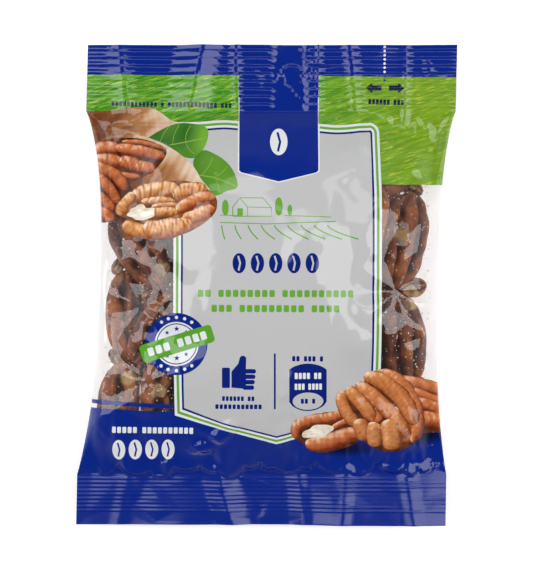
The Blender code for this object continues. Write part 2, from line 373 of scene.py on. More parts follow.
def soft_box(name, place, width, height, radiance):
    """A rectangle of light at this place that faces the bag's middle."""
    lamp = bpy.data.lights.new(name, "AREA")
    lamp.shape = "RECTANGLE"
    lamp.size, lamp.size_y = width, height
    lamp.energy = radiance * width * height * math.pi
    holder = set_in_scene(name, lamp)
    holder.location = place
    holder.rotation_euler = (-Vector(place)).to_track_quat("-Z", "Y").to_euler()


seal_plane = (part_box("header_seal")[0][2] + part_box("header_seal")[1][2]) / 2
camera_height = seal_plane + VIEW_HEIGHT * LENS / SENSOR
camera_data = bpy.data.cameras.new("camera")
camera_data.lens = LENS
camera_data.sensor_width = SENSOR
camera = set_in_scene("camera", camera_data)
camera.location = (0, 0, camera_height)
bpy.context.scene.camera = camera
bpy.context.scene.view_settings.view_transform = "Standard"

soft_box("left_box", (-0.48, 0.05, 0.60), width=0.46, height=0.8, radiance=3.2)
soft_box("right_box", (0.48, 0.05, 0.60), width=0.46, height=0.8, radiance=3.2)
soft_box("far_box", (0.0, 0.36, 0.72), width=0.5, height=0.14, radiance=2.0)

world = bpy.data.worlds.new("studio")
world.use_nodes = True


def world_node(kind, settings, inputs):
    return add_node(world.node_tree, "ShaderNode" + kind, settings, inputs).outputs


# The walls are bright near the floor and dark overhead, and brighter at the sides than at the ends
direction = world_node("SeparateXYZ", {}, {0: world_node("TexCoord", {}, {})["Generated"]})
low_walls = world_node(
    "MapRange",
    {},
    {"Value": direction["Z"], "From Min": 0.20, "From Max": 0.75, "To Min": WALLS_LOW, "To Max": WALLS_HIGH},
)
sideways = world_node("Math", {"operation": "MULTIPLY"}, {0: direction["X"], 1: direction["X"]})
share = world_node("Math", {"operation": "MULTIPLY_ADD"}, {0: sideways[0], 1: 0.7, 2: 0.3})
brightness = world_node("Math", {"operation": "MULTIPLY"}, {0: low_walls["Result"], 1: share[0]})
background = world.node_tree.nodes["Background"]
world.node_tree.links.new(brightness[0], background.inputs["Strength"])
background.inputs["Color"].default_value = (1, 1, 1, 1)
bpy.context.scene.world = world

floor_mesh = bpy.data.meshes.new("floor")
floor_mesh.from_pydata(
    [(-FLOOR, -FLOOR, 0), (FLOOR, -FLOOR, 0), (FLOOR, FLOOR, 0), (-FLOOR, FLOOR, 0)], [], [(0, 1, 2, 3)]
)
floor = set_in_scene("floor", floor_mesh)
floor_finish = Finish("pale_floor")
pale = floor_finish.node(
    "BsdfPrincipled",
    None,
    {
        "Base Color": (0.97, 0.97, 0.97),
        "Roughness": 0.9,
        "Emission Color": (1, 1, 1),
        "Emission Strength": FLOOR_GLOW,
    },
)
floor_mesh.materials.append(floor_finish.surface(pale))

# ---------------------------------------------------------------------------------------------
# The film: one web of clear laminate, folded round into a tube and sealed flat at both ends. The
# halves push it out, it hangs between them, and it gathers into puckers at either seal.
# ---------------------------------------------------------------------------------------------

WAIST_PULL = 0.0062
RIGHT_FULLER = 0.0008  # the right fold is drawn in less, by twice this
FOLD_RISE = 0.0020
FLAT_SHARE = 0.90
CLEAR_OF_HALVES = 0.0005  # the film's clearance
SAG_PER_STEP = 0.016 * MM
SAG_STEPS = 260
SKIN_GAP = 0.00006
LOWEST = 0.0009  # the back film lies over the folded fin
SOFT = 0.0004  # how roundly the film bends over a half
PRESS_IN = 0.0002  # how much of its clearance the film takes up where it is drawn tight

header_low, header_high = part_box("header_seal")
foot_low, foot_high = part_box("foot_seal")
FOOT_END, HEADER_END = foot_low[1], header_high[1]
FOOT_EDGE, HEADER_EDGE = foot_high[1], header_low[1]
HALF_FLAT = (header_high[0] - header_low[0]) / 2
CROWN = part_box("film_tube")[1][2]
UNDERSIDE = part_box("film_tube")[0][2]
SEAL_Z = (header_low[2] + header_high[2]) / 2
HEADER_MIDDLE = (header_low[0] + header_high[0]) / 2
FOOT_MIDDLE = (foot_low[0] + foot_high[0]) / 2
LEAN = (HEADER_MIDDLE - FOOT_MIDDLE) / ((header_low[1] + header_high[1] - foot_low[1] - foot_high[1]) / 2)


def fullness(y):
    """How much of its full width and depth the pillow has: 0 at both seals, 1 between them."""
    share = np.clip((y - FOOT_EDGE) / (HEADER_EDGE - FOOT_EDGE), 0, 1) ** 1.15
    return (1 - np.abs(2 * share - 1) ** 2.6) ** 0.8


def middle(y):
    """Where the bag's middle line lies, since the header is off to the right of the foot."""
    return LEAN * y + (HEADER_MIDDLE + FOOT_MIDDLE) / 2 + RIGHT_FULLER * fullness(y)


def half_width(y):
    return HALF_FLAT - (WAIST_PULL - RIGHT_FULLER) * fullness(y)


def fold_height(y):
    return SEAL_Z + FOLD_RISE * fullness(y)


def across(x, y):
    """Share of the way from the middle line to a side fold, -1 to 1."""
    return np.clip((x - middle(y)) / half_width(y), -1, 1)


def swell(y):
    """The same as fullness for the depth, which leaves each seal without a crease."""
    return fullness(y) ** 1.35


def smooth_front(x, y):
    arch = (1 - np.abs(across(x, y)) ** 2.6) ** 0.5
    return fold_height(y) + (CROWN - fold_height(y)) * swell(y) * arch


def smooth_back(x, y):
    arch = (1 - np.abs(across(x, y)) ** 3.4) ** 0.5
    depth = (fold_height(y) - UNDERSIDE) / FLAT_SHARE * swell(y)
    return np.maximum(fold_height(y) - depth * arch, UNDERSIDE)


# The film's hang over the halves, on a grid one millimetre apart

grid_x = np.arange(-64, 65) * MM
grid_y = np.arange(-80, 81) * MM
map_x, map_y = np.meshgrid(grid_x, grid_y, indexing="ij")


def reaches_of(pieces, way):
    """How high (way 1) or low (way -1) the pieces reach at each point of the grid."""
    points, faces = [], []
    for piece in pieces:
        start = len(points)
        points.extend(v.co for v in piece.data.vertices)
        faces.extend(tuple(start + i for i in p.vertices) for p in piece.data.polygons)
    tree = BVHTree.FromPolygons(points, faces)
    heights = np.full(map_x.shape, -1.0 * way)  # far off, where there is no piece
    for index in np.ndindex(map_x.shape):
        hit = tree.ray_cast(Vector((map_x[index], map_y[index], 0.1 * way)), Vector((0, 0, -way)))
        if hit[0] is not None:
            heights[index] = hit[0].z
    return heights


def neighbours(values):
    """The values on each of the four sides of every point of the grid."""
    spread = np.pad(values, 1, mode="edge")
    return spread[2:, 1:-1], spread[:-2, 1:-1], spread[1:-1, 2:], spread[1:-1, :-2]


def widened(values):
    """Each point of the grid takes the highest value beside it."""
    return np.maximum.reduce((values, *neighbours(values)))


tops = widened(reaches_of(halves + bits, 1)) + CLEAR_OF_HALVES
bottoms = -widened(-reaches_of(halves + bits, -1)) - CLEAR_OF_HALVES
ceiling = smooth_front(map_x, map_y)
hang = ceiling.copy()
for _ in range(SAG_STEPS):
    hang = np.clip(sum(neighbours(hang)) / 4 - SAG_PER_STEP, np.minimum(tops, ceiling), ceiling)
    hang = np.where(fullness(map_y) < 0.02, ceiling, hang)
for _ in range(2):
    hang = ceiling + np.minimum(0, sum(neighbours(hang - ceiling)) / 4)
sunk = hang - ceiling


def on_grid(values, x, y):
    """Values of the one-millimetre grid at any points."""
    i = np.clip((x - grid_x[0]) / MM, 0, len(grid_x) - 1.001)
    j = np.clip((y - grid_y[0]) / MM, 0, len(grid_y) - 1.001)
    a, b = i.astype(int), j.astype(int)
    u, v = i - a, j - b
    low = values[a, b] * (1 - v) + values[a, b + 1] * v
    high = values[a + 1, b] * (1 - v) + values[a + 1, b + 1] * v
    return low * (1 - u) + high * u


def creased(seed, count, spread):
    """A tree of flat facets over the web, for crumpled film: cast down on to it to get its height."""
    random = np.random.default_rng(seed)
    spots = random.uniform((-70 * MM, -86 * MM), (70 * MM, 86 * MM), (count, 2))
    corners = np.array([(-0.1, -0.1), (0.1, -0.1), (0.1, 0.1), (-0.1, 0.1)])
    spots = np.vstack((spots, corners))
    flat = geometry.delaunay_2d_cdt([Vector(p) for p in spots], [], [], 0, 1e-6)
    heights = np.append(random.normal(0, spread, count), np.zeros(4))
    points = [Vector((p.x, p.y, heights[i])) for i, p in enumerate(flat[0])]
    return BVHTree.FromPolygons(points, flat[2])


def facets(tree, x, y):
    down = Vector((0, 0, -1))
    return np.array([tree.ray_cast(Vector((a, b, 0.05)), down)[0].z for a, b in zip(x, y)])


def puckers(x, reach, seed, count, low, high):
    """Gathers that fan out from a seal: reach is how far each point is from the seal."""
    random = np.random.default_rng(seed)
    total = np.zeros_like(x)
    for _ in range(count):
        centre = random.uniform(-0.95, 0.95) * HALF_FLAT
        width = random.uniform(2.0, 5.0) * MM
        length = random.uniform(6, 18) * MM
        height = random.uniform(low, high) * random.choice((-1, 1, 1))
        drift = random.normal(0, 0.25)
        share = np.clip(reach / length, 0, None)
        tent = np.clip(1 - np.abs(x - centre - drift * reach) / (width * (0.4 + 0.6 * share)), 0, 1)
        total += height * tent * share**0.7 * np.exp(-1.6 * share**1.5)
    return total


HEADER_RIB_PITCH, FOOT_RIB_PITCH = 2.5 * MM, 1.32 * MM
HEADER_RIB, FOOT_RIB = 0.30 * MM, 0.17 * MM
FOOT_LIP = 3.4 * MM


def seal_ribs(x, y):
    """The bars that the jaws press into both seals."""
    header_share = np.clip((y - HEADER_EDGE - 0.3 * MM) / MM, 0, 1)
    phase = (HEADER_END - 2.4 * MM - y) / HEADER_RIB_PITCH
    bar = (0.5 + 0.5 * np.cos(2 * math.pi * phase)) ** 0.8
    beside_stamp = np.clip((np.abs(x - 7.4 * MM) - 4.9 * MM) / MM, 0, 1)
    off_bars = 1 - 0.8 * np.clip(tents(x, y, HEADER_PLEATS, HEADER_END) / (0.6 * MM), 0, 1)
    header = HEADER_RIB * bar * header_share * beside_stamp * off_bars
    foot_share = np.clip((FOOT_EDGE - y) / MM, 0, 1) * np.clip((y - FOOT_END - FOOT_LIP) / MM, 0, 1)
    uneven = 0.6 + 0.4 * np.sin(x * 90 + 1.5 * np.sin(y * 700))
    fine = (0.5 + 0.5 * np.cos(2 * math.pi * (y - FOOT_EDGE) / FOOT_RIB_PITCH)) ** 1.2
    return header + FOOT_RIB * fine * foot_share * uneven


broad_facets = creased(seed=4, count=110, spread=1.0 * MM)
small_facets = creased(seed=9, count=520, spread=0.24 * MM)


def swags(x, seed):
    """Where the gathers end beside the foot seal: crests at uneven spacing, with a dip between each two."""
    random = np.random.default_rng(seed)
    knots = np.cumsum(random.uniform(4.0, 10.5, 24)) - 75
    crests, dips = random.uniform(0.4, 4.2, 24), random.uniform(1.4, 3.6, 24)
    after = np.clip(np.searchsorted(knots, x / MM), 1, 23)
    share = (x / MM - knots[after - 1]) / (knots[after] - knots[after - 1])
    share = np.clip(share, 0, 1)
    line = crests[after - 1] * (1 - share) + crests[after] * share
    return (line - dips[after] * (4 * share * (1 - share)) ** 0.6) * MM


# Pleats that run up through a seal: place, width, height (mm), and how they lean
HEADER_PLEATS = (
    (-21, 8.0, 1.95, -0.20), (-10, 1.8, 0.6, 0.02), (13.4, 1.5, 0.6, 0.03), (17.0, 1.5, 0.6, -0.02),
    (27, 3.0, 0.75, 0.10), (45.5, 1.6, 0.5, -0.02), (-48, 5.0, 0.8, 0.12),
)
FOOT_PLEATS = (
    (-15.5, 5.5, 1.4, 0.25), (-45, 3.0, 0.35, -0.2), (10.1, 3.2, 0.7, 0.1), (26.3, 2.4, 0.55, -0.1),
    (45.5, 3.5, 0.7, 0.15),
)
FOOT_LIFT, FOOT_DROOP = 2.3 * MM, 0.8 * MM
LIP_RISE, LIP_REACH = 0.6 * MM, 8 * MM  # the film's first rise beside the foot seal


def tents(x, y, pleats, edge):
    total = np.zeros_like(x)
    for place, width, height, lean in pleats:
        centre = place * MM + lean * np.abs(y - edge)
        total += height * MM * np.clip(1 - np.abs(x - centre) / (width * MM), 0, 1)
    return total


def end_waves(x, y):
    """The slow waves and sharp pleats of both seals, and the foot's warp: its right side curls up."""
    waves = 0.25 * MM * np.sin(x * 95 + y * 30) + 0.2 * MM * np.sin(x * 170 - y * 60 + 1)
    curl = np.clip((FOOT_EDGE + 4 * MM - y) / (20 * MM), 0, 1)
    right = np.clip((x - 8 * MM) / (14 * MM), 0, 1)
    warp = curl * (FOOT_LIFT * right - FOOT_DROOP * (1 - right))
    header = tents(x, y, HEADER_PLEATS, HEADER_END)
    return waves + np.where(y > 0, header, tents(x, y, FOOT_PLEATS, FOOT_EDGE) + warp)


# Where the film clings to a half: place, reach, height of the folds about it (mm), and their turn
PINCHES = ((-39.3, -6.8, 18, 1.5, 0.35), (41.1, -1.9, 16, 1.3, 1.2), (-37.5, -31.0, 12, 0.9, 0.9))
FOLDS_ABOUT_PINCH = 5


def pinched(x, y):
    """Sharp folds that spread like a star from each place where the film clings."""
    total = np.zeros_like(x)
    for place_x, place_y, reach, height, turn in PINCHES:
        dx, dy = x - place_x * MM, y - place_y * MM
        share = np.clip(np.hypot(dx, dy) / (reach * MM), 0, 1)
        fold = 2 * np.abs((np.arctan2(dy, dx) + turn) * FOLDS_ABOUT_PINCH / (2 * math.pi) % 1 - 0.5)
        total += height * MM * 4 * share * (1 - share) * fold
    return total


# Where the film hangs smooth over the halves: place and reach (mm)
SMOOTH = (
    (42.0, -18.0, 14.0, 15.0), (46.0, 15.0, 10.0, 14.0), (-50.0, -26.0, 7.0, 12.0), (-46.0, 12.0, 8.0, 9.0)
)
# Where it stands off them: place, reach and rise (mm)
BULGES = (
    (49.0, 15.0, 8.0, 14.0, 3.0), (53.5, -17.0, 7.0, 14.0, 1.6), (-34.0, -27.0, 6.0, 9.0, 1.2),
    (-34.0, 10.0, 5.0, 9.0, 0.8),
)


def near(x, y, place_x, place_y, reach_x, reach_y):
    """1 at a place given in millimetres, and falling to 0 beyond its reach."""
    return np.exp(-(((x / MM - place_x) / reach_x) ** 2) - ((y / MM - place_y) / reach_y) ** 2)


STAMP_CENTRE, STAMP_RADIUS, STAMP_TIP = (8.2 * MM, 67.4 * MM), 3.5 * MM, (10.6 * MM, 59.6 * MM)
STAMP_RISE, STAMP_LINE = 0.24 * MM, 0.9 * MM


def stamped(x, y):
    """The drop-shaped mark pressed into the header: how near each point is to its line, 0 to 1."""
    turns = np.radians(np.linspace(-35, 255, 30))
    bend = np.array(STAMP_CENTRE) + STAMP_RADIUS * np.column_stack((np.cos(turns), np.sin(turns)))
    line = np.vstack((bend, [STAMP_TIP], bend[:1]))
    away = np.full(x.shape, 1.0)
    for (ax, ay), (bx, by) in zip(line, line[1:]):
        run = (bx - ax, by - ay)
        share = np.clip(((x - ax) * run[0] + (y - ay) * run[1]) / (run[0] ** 2 + run[1] ** 2), 0, 1)
        away = np.minimum(away, np.hypot(x - ax - share * run[0], y - ay - share * run[1]))
    return np.clip(1 - away / STAMP_LINE, 0, 1)


def eased(share):
    """A share from 0 to 1, made slow at both ends."""
    return share**2 * (3 - 2 * share)


def film_heights(x, y, side):
    """Heights of the front (side 1) or back (side -1) of the bag at any points of its plan."""
    a = np.abs(across(x, y))
    inward = np.clip((1 - a) / 0.06, 0, 1)
    from_foot = y - FOOT_EDGE - swags(x, 6) * (1 if side > 0 else 0.5)
    from_header = HEADER_EDGE - y
    above = np.clip(from_foot / (1.5 * MM), 0, 1)
    lip = LIP_RISE * eased(above) * np.exp(-np.clip(from_foot, 0, None) / LIP_REACH)
    lift = np.clip(from_foot / (1.3 * MM), 0, 1) * eased(np.clip(from_header / (6 * MM), 0, 1))
    foot_reach, header_reach = np.clip(from_foot, 0, None), np.clip(from_header, 0, None)
    seam = puckers(x, foot_reach, seed=21 + side, count=30, low=0.6 * MM, high=1.7 * MM)
    seam += puckers(x, header_reach, seed=31 + side, count=22, low=0.4 * MM, high=1.2 * MM)
    beside_panel = np.clip((a - 0.35) / 0.25, 0, 1)
    small = facets(small_facets, x, y)
    crumple = (facets(broad_facets, x, y) + small) * (0.15 + 0.85 * beside_panel)
    seal_share = 1 - eased(np.clip(fullness(y) / 0.6, 0, 1))
    shared = (end_waves(x, y) + seal_ribs(x, y) + 0.7 * small) * seal_share
    if side > 0:
        loose = 1 - 0.75 * np.clip(sum(near(x, y, *spot) for spot in SMOOTH), 0, 1)
        height = smooth_front(x, y) + on_grid(sunk, x, y) * inward * (0.35 + 0.65 * beside_panel) * loose
        height += inward * (lift * (0.35 * MM + seam + 0.8 * crumple * loose + pinched(x, y)) + lip)
        height += inward * sum(rise * MM * near(x, y, *spot) for *spot, rise in BULGES)
        height += shared + STAMP_RISE * stamped(x, y) + SKIN_GAP * inward
        touching = on_grid(tops, x, y)
        resting = SOFT * np.logaddexp(height / SOFT, (touching - PRESS_IN) / SOFT)
        height = np.where(touching > 0, resting, height)
        return np.maximum(height, film_heights(x, y, -1) + SKIN_GAP * inward)
    height = smooth_back(x, y)
    off_floor = np.clip((height - UNDERSIDE) / (2 * MM), 0, 1)
    height += inward * off_floor * (-lift * 0.4 * np.abs(seam) + 0.6 * crumple * lift)
    height = height + shared - SKIN_GAP * inward
    under = on_grid(bottoms, x, y)
    height = np.where(under < 0.1, np.minimum(height, under + PRESS_IN), height)
    return np.maximum(height, LOWEST)


# ---------------------------------------------------------------------------------------------
# The print: flat inks laid on the inside of the clear web, in register with the bag's shape. It
# is set out as it is seen from straight above, in millimetres from the middle of the bag.
# ---------------------------------------------------------------------------------------------

BLUE, DEEP_BLUE = (0.003, 0.020, 0.235), (0.004, 0.016, 0.18)
LEAF_GREEN, LINE_GREEN = (0.10, 0.36, 0.025), (0.14, 0.38, 0.04)
PANEL, WHITE = (0.53, 0.53, 0.535), (0.78, 0.79, 0.80)
STREAK = (0.50, 0.58, 0.05)
NEAR_BLACK = (0.01, 0.02, 0.05)


def laid_on(outline):
    """An outline in millimetres as seen from above, brought down to its plan on the bag."""
    seen = np.array(outline, float) * MM
    plan = seen.copy()
    for _ in range(4):
        rise = smooth_front(plan[:, 0], plan[:, 1]) - SEAL_Z
        plan = seen * (1 - rise / (camera_height - SEAL_Z))[:, None]
    return plan


def seen_from_above(plan):
    """The way back: where points of the bag's plan are seen, in millimetres."""
    rise = smooth_front(plan[:, 0], plan[:, 1]) - SEAL_Z
    return plan / (1 - rise / (camera_height - SEAL_Z))[:, None] / MM


def axes_at(tilt):
    """The two axes of something turned by this many degrees, one to a row."""
    c, s = math.cos(math.radians(tilt)), math.sin(math.radians(tilt))
    return np.array(((c, s), (-s, c)))


def arc(centre, radius, start, end, steps=16, squash=1.0, tilt=0.0):
    turns = np.radians(np.linspace(start, end, steps + 1))
    points = np.column_stack((radius * np.cos(turns), radius * squash * np.sin(turns)))
    return points @ axes_at(tilt) + centre


def oval(centre, radius, squash=1.0, tilt=0.0, steps=40):
    return arc(centre, radius, 0, 360, steps, squash, tilt)[:-1]


def slab(centre, width, height, radius, tilt=0.0):
    """A rectangle with rounded corners."""
    corners = []
    for sx, sy, start in ((1, 1, 0), (-1, 1, 90), (-1, -1, 180), (1, -1, 270)):
        corner = (sx * (width / 2 - radius), sy * (height / 2 - radius))
        corners.append(arc(corner, radius, start, start + 90, 5))
    return np.vstack(corners) @ axes_at(tilt) + centre


def stroke(points, width):
    """A line of this width along the points."""
    points = np.array(points, float)
    way = np.gradient(points, axis=0)
    side = np.column_stack((-way[:, 1], way[:, 0])) / np.linalg.norm(way, axis=1)[:, None] * width / 2
    return np.vstack((points + side, (points - side)[::-1]))


def panel_outline(inset):
    """The label panel: wavy along its top, a round corner at its right, a flat chevron below."""
    left, right, top, radius = -29.8 + inset, 36.9 - inset, 52.9 - inset, max(3.4 - inset, 0.6)
    along = np.linspace(left, right - radius, 40)
    crest = top + 0.7 * np.exp(-(((along + 14) / 6) ** 2)) - 0.9 * np.exp(-(((along - 23) / 7) ** 2))
    upper = np.column_stack((along, crest))
    corner = arc((right - radius, top - radius), radius, 90, 0, 8)
    drop = inset * 0.8
    lower = [(right, -43.0 + drop), (20.0, -47.1 + drop), (3.2, -51.7 + 1.1 * drop)]
    lower += [(-14.6, -47.0 + drop), (left, -42.4 + drop)]
    return np.vstack((upper, corner, lower))


def star(centre, radius):
    turns = np.radians(90 + 36 * np.arange(10))
    reach = np.where(np.arange(10) % 2 == 0, radius, radius * 0.42)
    return np.column_stack((np.cos(turns), np.sin(turns))) * reach[:, None] + centre


layers = []


def printed(outline, ink):
    """Adds one patch of ink over those already there. The ink is a colour, or colours by place."""
    layers.append((laid_on(outline), ink))


def words(start, end, height, lengths, ink):
    """Plain blocks in the place of lettering: so many to a word, from start to end."""
    start, end = np.array(start, float), np.array(end, float)
    places = sum(lengths) + 0.8 * (len(lengths) - 1)
    pitch = math.dist(start, end) / places
    way = (end - start) / math.dist(start, end)
    tilt = math.degrees(math.atan2(way[1], way[0]))
    reach = 0.0
    for length in lengths:
        for _ in range(length):
            centre = start + way * (reach + 0.5) * pitch
            printed(slab(centre, 0.74 * pitch, height, 0.18 * pitch, tilt), ink)
            reach += 1
        reach += 0.8


def pictogram(centre, height, ink, groove):
    """A plain pecan half, drawn as an upright oval with one line down it."""
    printed(oval(centre, height / 2, 0.66, 90), ink)
    line = np.array([(-0.05, 0.36), (0.05, 0), (-0.03, -0.36)]) * height + centre
    printed(stroke(line, 0.09 * height), groove)


def blended(share, first, second):
    """One colour, or one to each place, passing into another as the share goes from 0 to 1."""
    share = np.clip(share, 0, 1)[:, None]
    return np.array(first) * (1 - share) + np.array(second) * share


class Picture:
    """One printed picture's own axes, and the way from them to the bag's."""

    def __init__(self, centre, long, wide, tilt):
        self.centre = np.array(centre)
        self.sizes = np.array((long, wide))
        self.axes = axes_at(tilt)

    def own(self, places):
        return (places - self.centre) @ self.axes.T / self.sizes

    def seen(self, own):
        return own * self.sizes @ self.axes + self.centre


PICTURE_LIGHT = np.array((-0.45, 0.62))  # from the upper left


def curved(points):
    """A few points made into a smooth line, by cutting its corners again and again."""
    points = np.array(points, float)
    for _ in range(3):
        first = 0.75 * points[:-1] + 0.25 * points[1:]
        second = 0.25 * points[:-1] + 0.75 * points[1:]
        points = np.vstack((points[:1], np.stack((first, second), 1).reshape(-1, 2), points[-1:]))
    return points


def rounded(points):
    """The same for a closed outline."""
    points = np.array(points, float)
    for _ in range(2):
        after = np.roll(points, -1, axis=0)
        points = np.stack((0.75 * points + 0.25 * after, 0.25 * points + 0.75 * after), 1).reshape(-1, 2)
    return points


def pictured_lobe(spine, width, seed, folds, pale=0.0):
    """One fleshy fold of a pictured half: a rounded roll along its spine, with wrinkles across it."""
    spine = curved(spine)
    steps = np.linalg.norm(np.diff(spine, axis=0), axis=1)
    reach = np.append(0, np.cumsum(steps))
    share = reach / reach[-1]
    way = np.gradient(spine, axis=0)
    way = way / np.linalg.norm(way, axis=1)[:, None]
    side = np.column_stack((-way[:, 1], way[:, 0]))
    half = width / 2 * (1 - np.abs(2 * share - 1) ** 5) ** 0.5

    def edge(sign):
        lumps = 1 + 0.10 * wavy(reach * 0.9, sign + 0 * reach, seed, 1.3)
        return spine + side * (sign * half * lumps)[:, None]

    outline = np.vstack((edge(1), edge(-1)[::-1]))

    def ink(places):
        nearest = ((places[:, None] - spine) ** 2).sum(2).argmin(1)
        offset = ((places - spine[nearest]) * side[nearest]).sum(1)
        past = ((places - spine[nearest]) * way[nearest]).sum(1)
        v = np.clip(offset / np.maximum(half[nearest], 0.3), -1, 1)
        at = reach[nearest] + past
        u = 2 * share[nearest] - 1
        tilt = side[nearest] * v[:, None] + way[nearest] * (0.8 * np.sign(u) * np.abs(u) ** 4)[:, None]
        rise = np.sqrt(np.clip(1 - v**2, 0.04, 1))
        waves = np.sin(at * 2.3 + 3.4 * wavy(at * 0.5, v, seed + 1, 1.4) + 1.4 * v * v)
        waves = waves + 0.6 * np.sin(at * 5.1 - 3 * v + seed)
        lit = tilt @ PICTURE_LIGHT + 0.64 * rise + 0.30 * folds * waves
        lit = lit + 0.12 * wavy(places[:, 0], places[:, 1], seed + 2, 1.6)
        crease_shade = np.clip(-waves - 0.75, 0, 1) * folds**1.6 * 1.9 + np.clip(np.abs(v) - 0.80, 0, 1) * 3.0
        brown = blended(lit, (0.20, 0.028, 0.007), (0.74, 0.23, 0.075))
        gold = blended(lit, (0.30, 0.075, 0.014), (0.86, 0.43, 0.15))
        body = brown * (1 - pale) + gold * pale
        body = blended(crease_shade, body, (0.070 + 0.13 * pale, 0.014 + 0.032 * pale, 0.005))
        return blended((lit - 0.80) * 1.9, body, (0.96, 0.80, 0.60))

    printed(outline, ink)


def pictured_lobes(seed, *lobes):
    for lobe in lobes:
        spine, width, folds, *pale = lobe
        pictured_lobe(spine, width, seed + len(layers), folds, *pale)


def pictured_body(outline, seed, dark=(0.040, 0.012, 0.006), light=(0.15, 0.038, 0.013)):
    """What shows between the lobes: dark crevices."""
    def ink(places):
        return blended(0.4 + 0.5 * wavy(places[:, 0], places[:, 1], seed, 1.1), dark, light)

    printed(rounded(outline), ink)


def pictured_flesh(centre, long, wide, tilt, seed):
    """The pale broken flesh that shows where a half was knocked."""
    picture = Picture(centre, long, wide, tilt)
    turns = np.linspace(0, 2 * math.pi, 46, endpoint=False)
    ragged = 1 + 0.16 * wavy(3 * np.cos(turns), 3 * np.sin(turns), seed, 1.6)
    outline = picture.seen(np.column_stack((np.cos(turns), np.sin(turns))) * ragged[:, None])

    def ink(places):
        s, t = picture.own(places).T
        grain = wavy(s, t, seed + 1, 6.0) * 0.5 + wavy(s, t, seed + 2, 13.0) * 0.35
        return blended(0.66 + 0.5 * grain, (0.58, 0.42, 0.22), (0.95, 0.90, 0.80))

    printed(outline, ink)


def pictured_shell(outline, pale_end, dark_end, seed):
    """A smooth nut shell, mottled and streaked, from its pale end to its dark one."""
    pale_end, dark_end = np.array(pale_end, float), np.array(dark_end, float)
    way = (dark_end - pale_end) / math.dist(pale_end, dark_end)
    picture = Picture(pale_end, 1.0, 1.0, math.degrees(math.atan2(way[1], way[0])))

    def ink(places):
        s, t = picture.own(places).T
        share = s / math.dist(pale_end, dark_end)
        mottle = wavy(s * 0.45, t, seed, 0.8) + 0.35 * wavy(s, t * 1.6, seed + 1, 1.9)
        tone = 1 - share + 0.13 * mottle
        body = blended(tone * 1.5 - 0.2, (0.17, 0.050, 0.018), (0.54, 0.26, 0.10))
        body = blended((tone - 0.64) * 2.4, body, (0.80, 0.64, 0.50))
        streaks = wavy(s * 0.3, t * 1.9, seed + 2, 1.7)
        return blended(np.clip(streaks - 0.55, 0, 1) * share * 0.9, body, (0.12, 0.035, 0.015))

    printed(rounded(outline), ink)


def pictured_leaf(outline, midrib, veins, seed):
    """A leaf with a pale midrib and a few pale veins that curve towards its tip."""
    middle_of_it = np.mean(outline, axis=0)

    def ink(places):
        away = (places - middle_of_it) / 9
        lit = 0.45 + 0.35 * wavy(away[:, 0], away[:, 1], seed, 1.6) + 0.30 * away[:, 0] - 0.15 * away[:, 1]
        return blended(lit, (0.018, 0.13, 0.012), (0.17, 0.40, 0.035))

    printed(rounded(outline), ink)
    for line, width in [(midrib, 0.34)] + [(vein, 0.20) for vein in veins]:
        printed(stroke(curved(line), width), (0.24, 0.44, 0.07))


# Fields of colour, from the bottom of the ink up

GRASS = "grass"
OUT_X, OUT_Y = 75, 95  # past every edge of the bag
printed([(-OUT_X, 68.5), (OUT_X, 67.5), (OUT_X, OUT_Y), (-OUT_X, OUT_Y)], BLUE)
printed([(-OUT_X, 68.5), (-9.1, 68.0), (-9.1, 50.0), (-OUT_X, 50.0)], GRASS)
printed([(17.1, 67.9), (OUT_X, 67.4), (OUT_X, 32.7), (30.0, 32.7), (30.0, 50.0), (17.1, 50.0)], GRASS)
printed([(-OUT_X, -36.0), (-30.0, -38.9), (-30.0, -40.2), (-OUT_X, -37.3)], BLUE)
printed(
    [(-OUT_X, -39.0), (-30.0, -41.2), (37.0, -41.5), (OUT_X, -49.0), (OUT_X, -OUT_Y), (-OUT_X, -OUT_Y)],
    BLUE,
)

# The label panel with its four lines, and the bare shield over it

for inset, ink in ((0.0, WHITE), (0.8, LINE_GREEN), (1.6, WHITE), (2.35, DEEP_BLUE), (3.0, PANEL)):
    printed(panel_outline(inset), ink)


def shield(edge, top):
    """The shield's outline, drawn in by the width of its edge."""
    left, right, low = -9.3 + edge, 17.3 - edge, 37.0 + edge * 0.6
    return [(left, low), (left, top), (right, top), (right, low), (right - 0.7, low - 0.6),
            (4.0, 33.3 + 1.1 * edge), (left + 0.7, low - 0.6)]


printed(shield(0.0, 52.4), WHITE)
printed(shield(0.4, 90.0), BLUE)
pictogram((4.0, 46.6), 8.6, WHITE, BLUE)

# A ploughed field with a barn between two trees, drawn in green lines

GROUND = 20.4
for number in range(9):
    start_x = -14.6 + 4.3 * number
    lean = 1.0 + 1.15 * number
    furrow = [(start_x + lean * k**1.6, GROUND - 0.9 - 4.6 * k) for k in np.linspace(0, 1, 7)]
    printed(stroke(furrow, 0.42), LINE_GREEN)
printed(stroke([(-15.2, GROUND), (0, GROUND - 0.5), (22.6, GROUND + 0.3)], 0.30), LINE_GREEN)
printed(stroke([(-15.2, GROUND + 2.4), (-9.0, GROUND + 2.2)], 0.26), LINE_GREEN)
printed(stroke([(6.0, GROUND + 2.2), (21.0, GROUND + 1.7)], 0.26), LINE_GREEN)
BARN = [(-11.0, 22.4), (-11.0, 25.4), (-8.6, 28.4), (-6.2, 25.4), (-6.2, 22.4), (-11.0, 22.4)]
printed(stroke(BARN, 0.34), LINE_GREEN)
printed(stroke([(-8.6, 28.4), (-1.2, 28.4), (1.6, 25.2), (1.6, 22.4), (-6.2, 22.4)], 0.30), LINE_GREEN)
printed(stroke([(-6.2, 25.4), (1.6, 25.2)], 0.26), LINE_GREEN)
printed(slab((-8.6, 23.8), 1.8, 2.4, 0.2), LINE_GREEN)
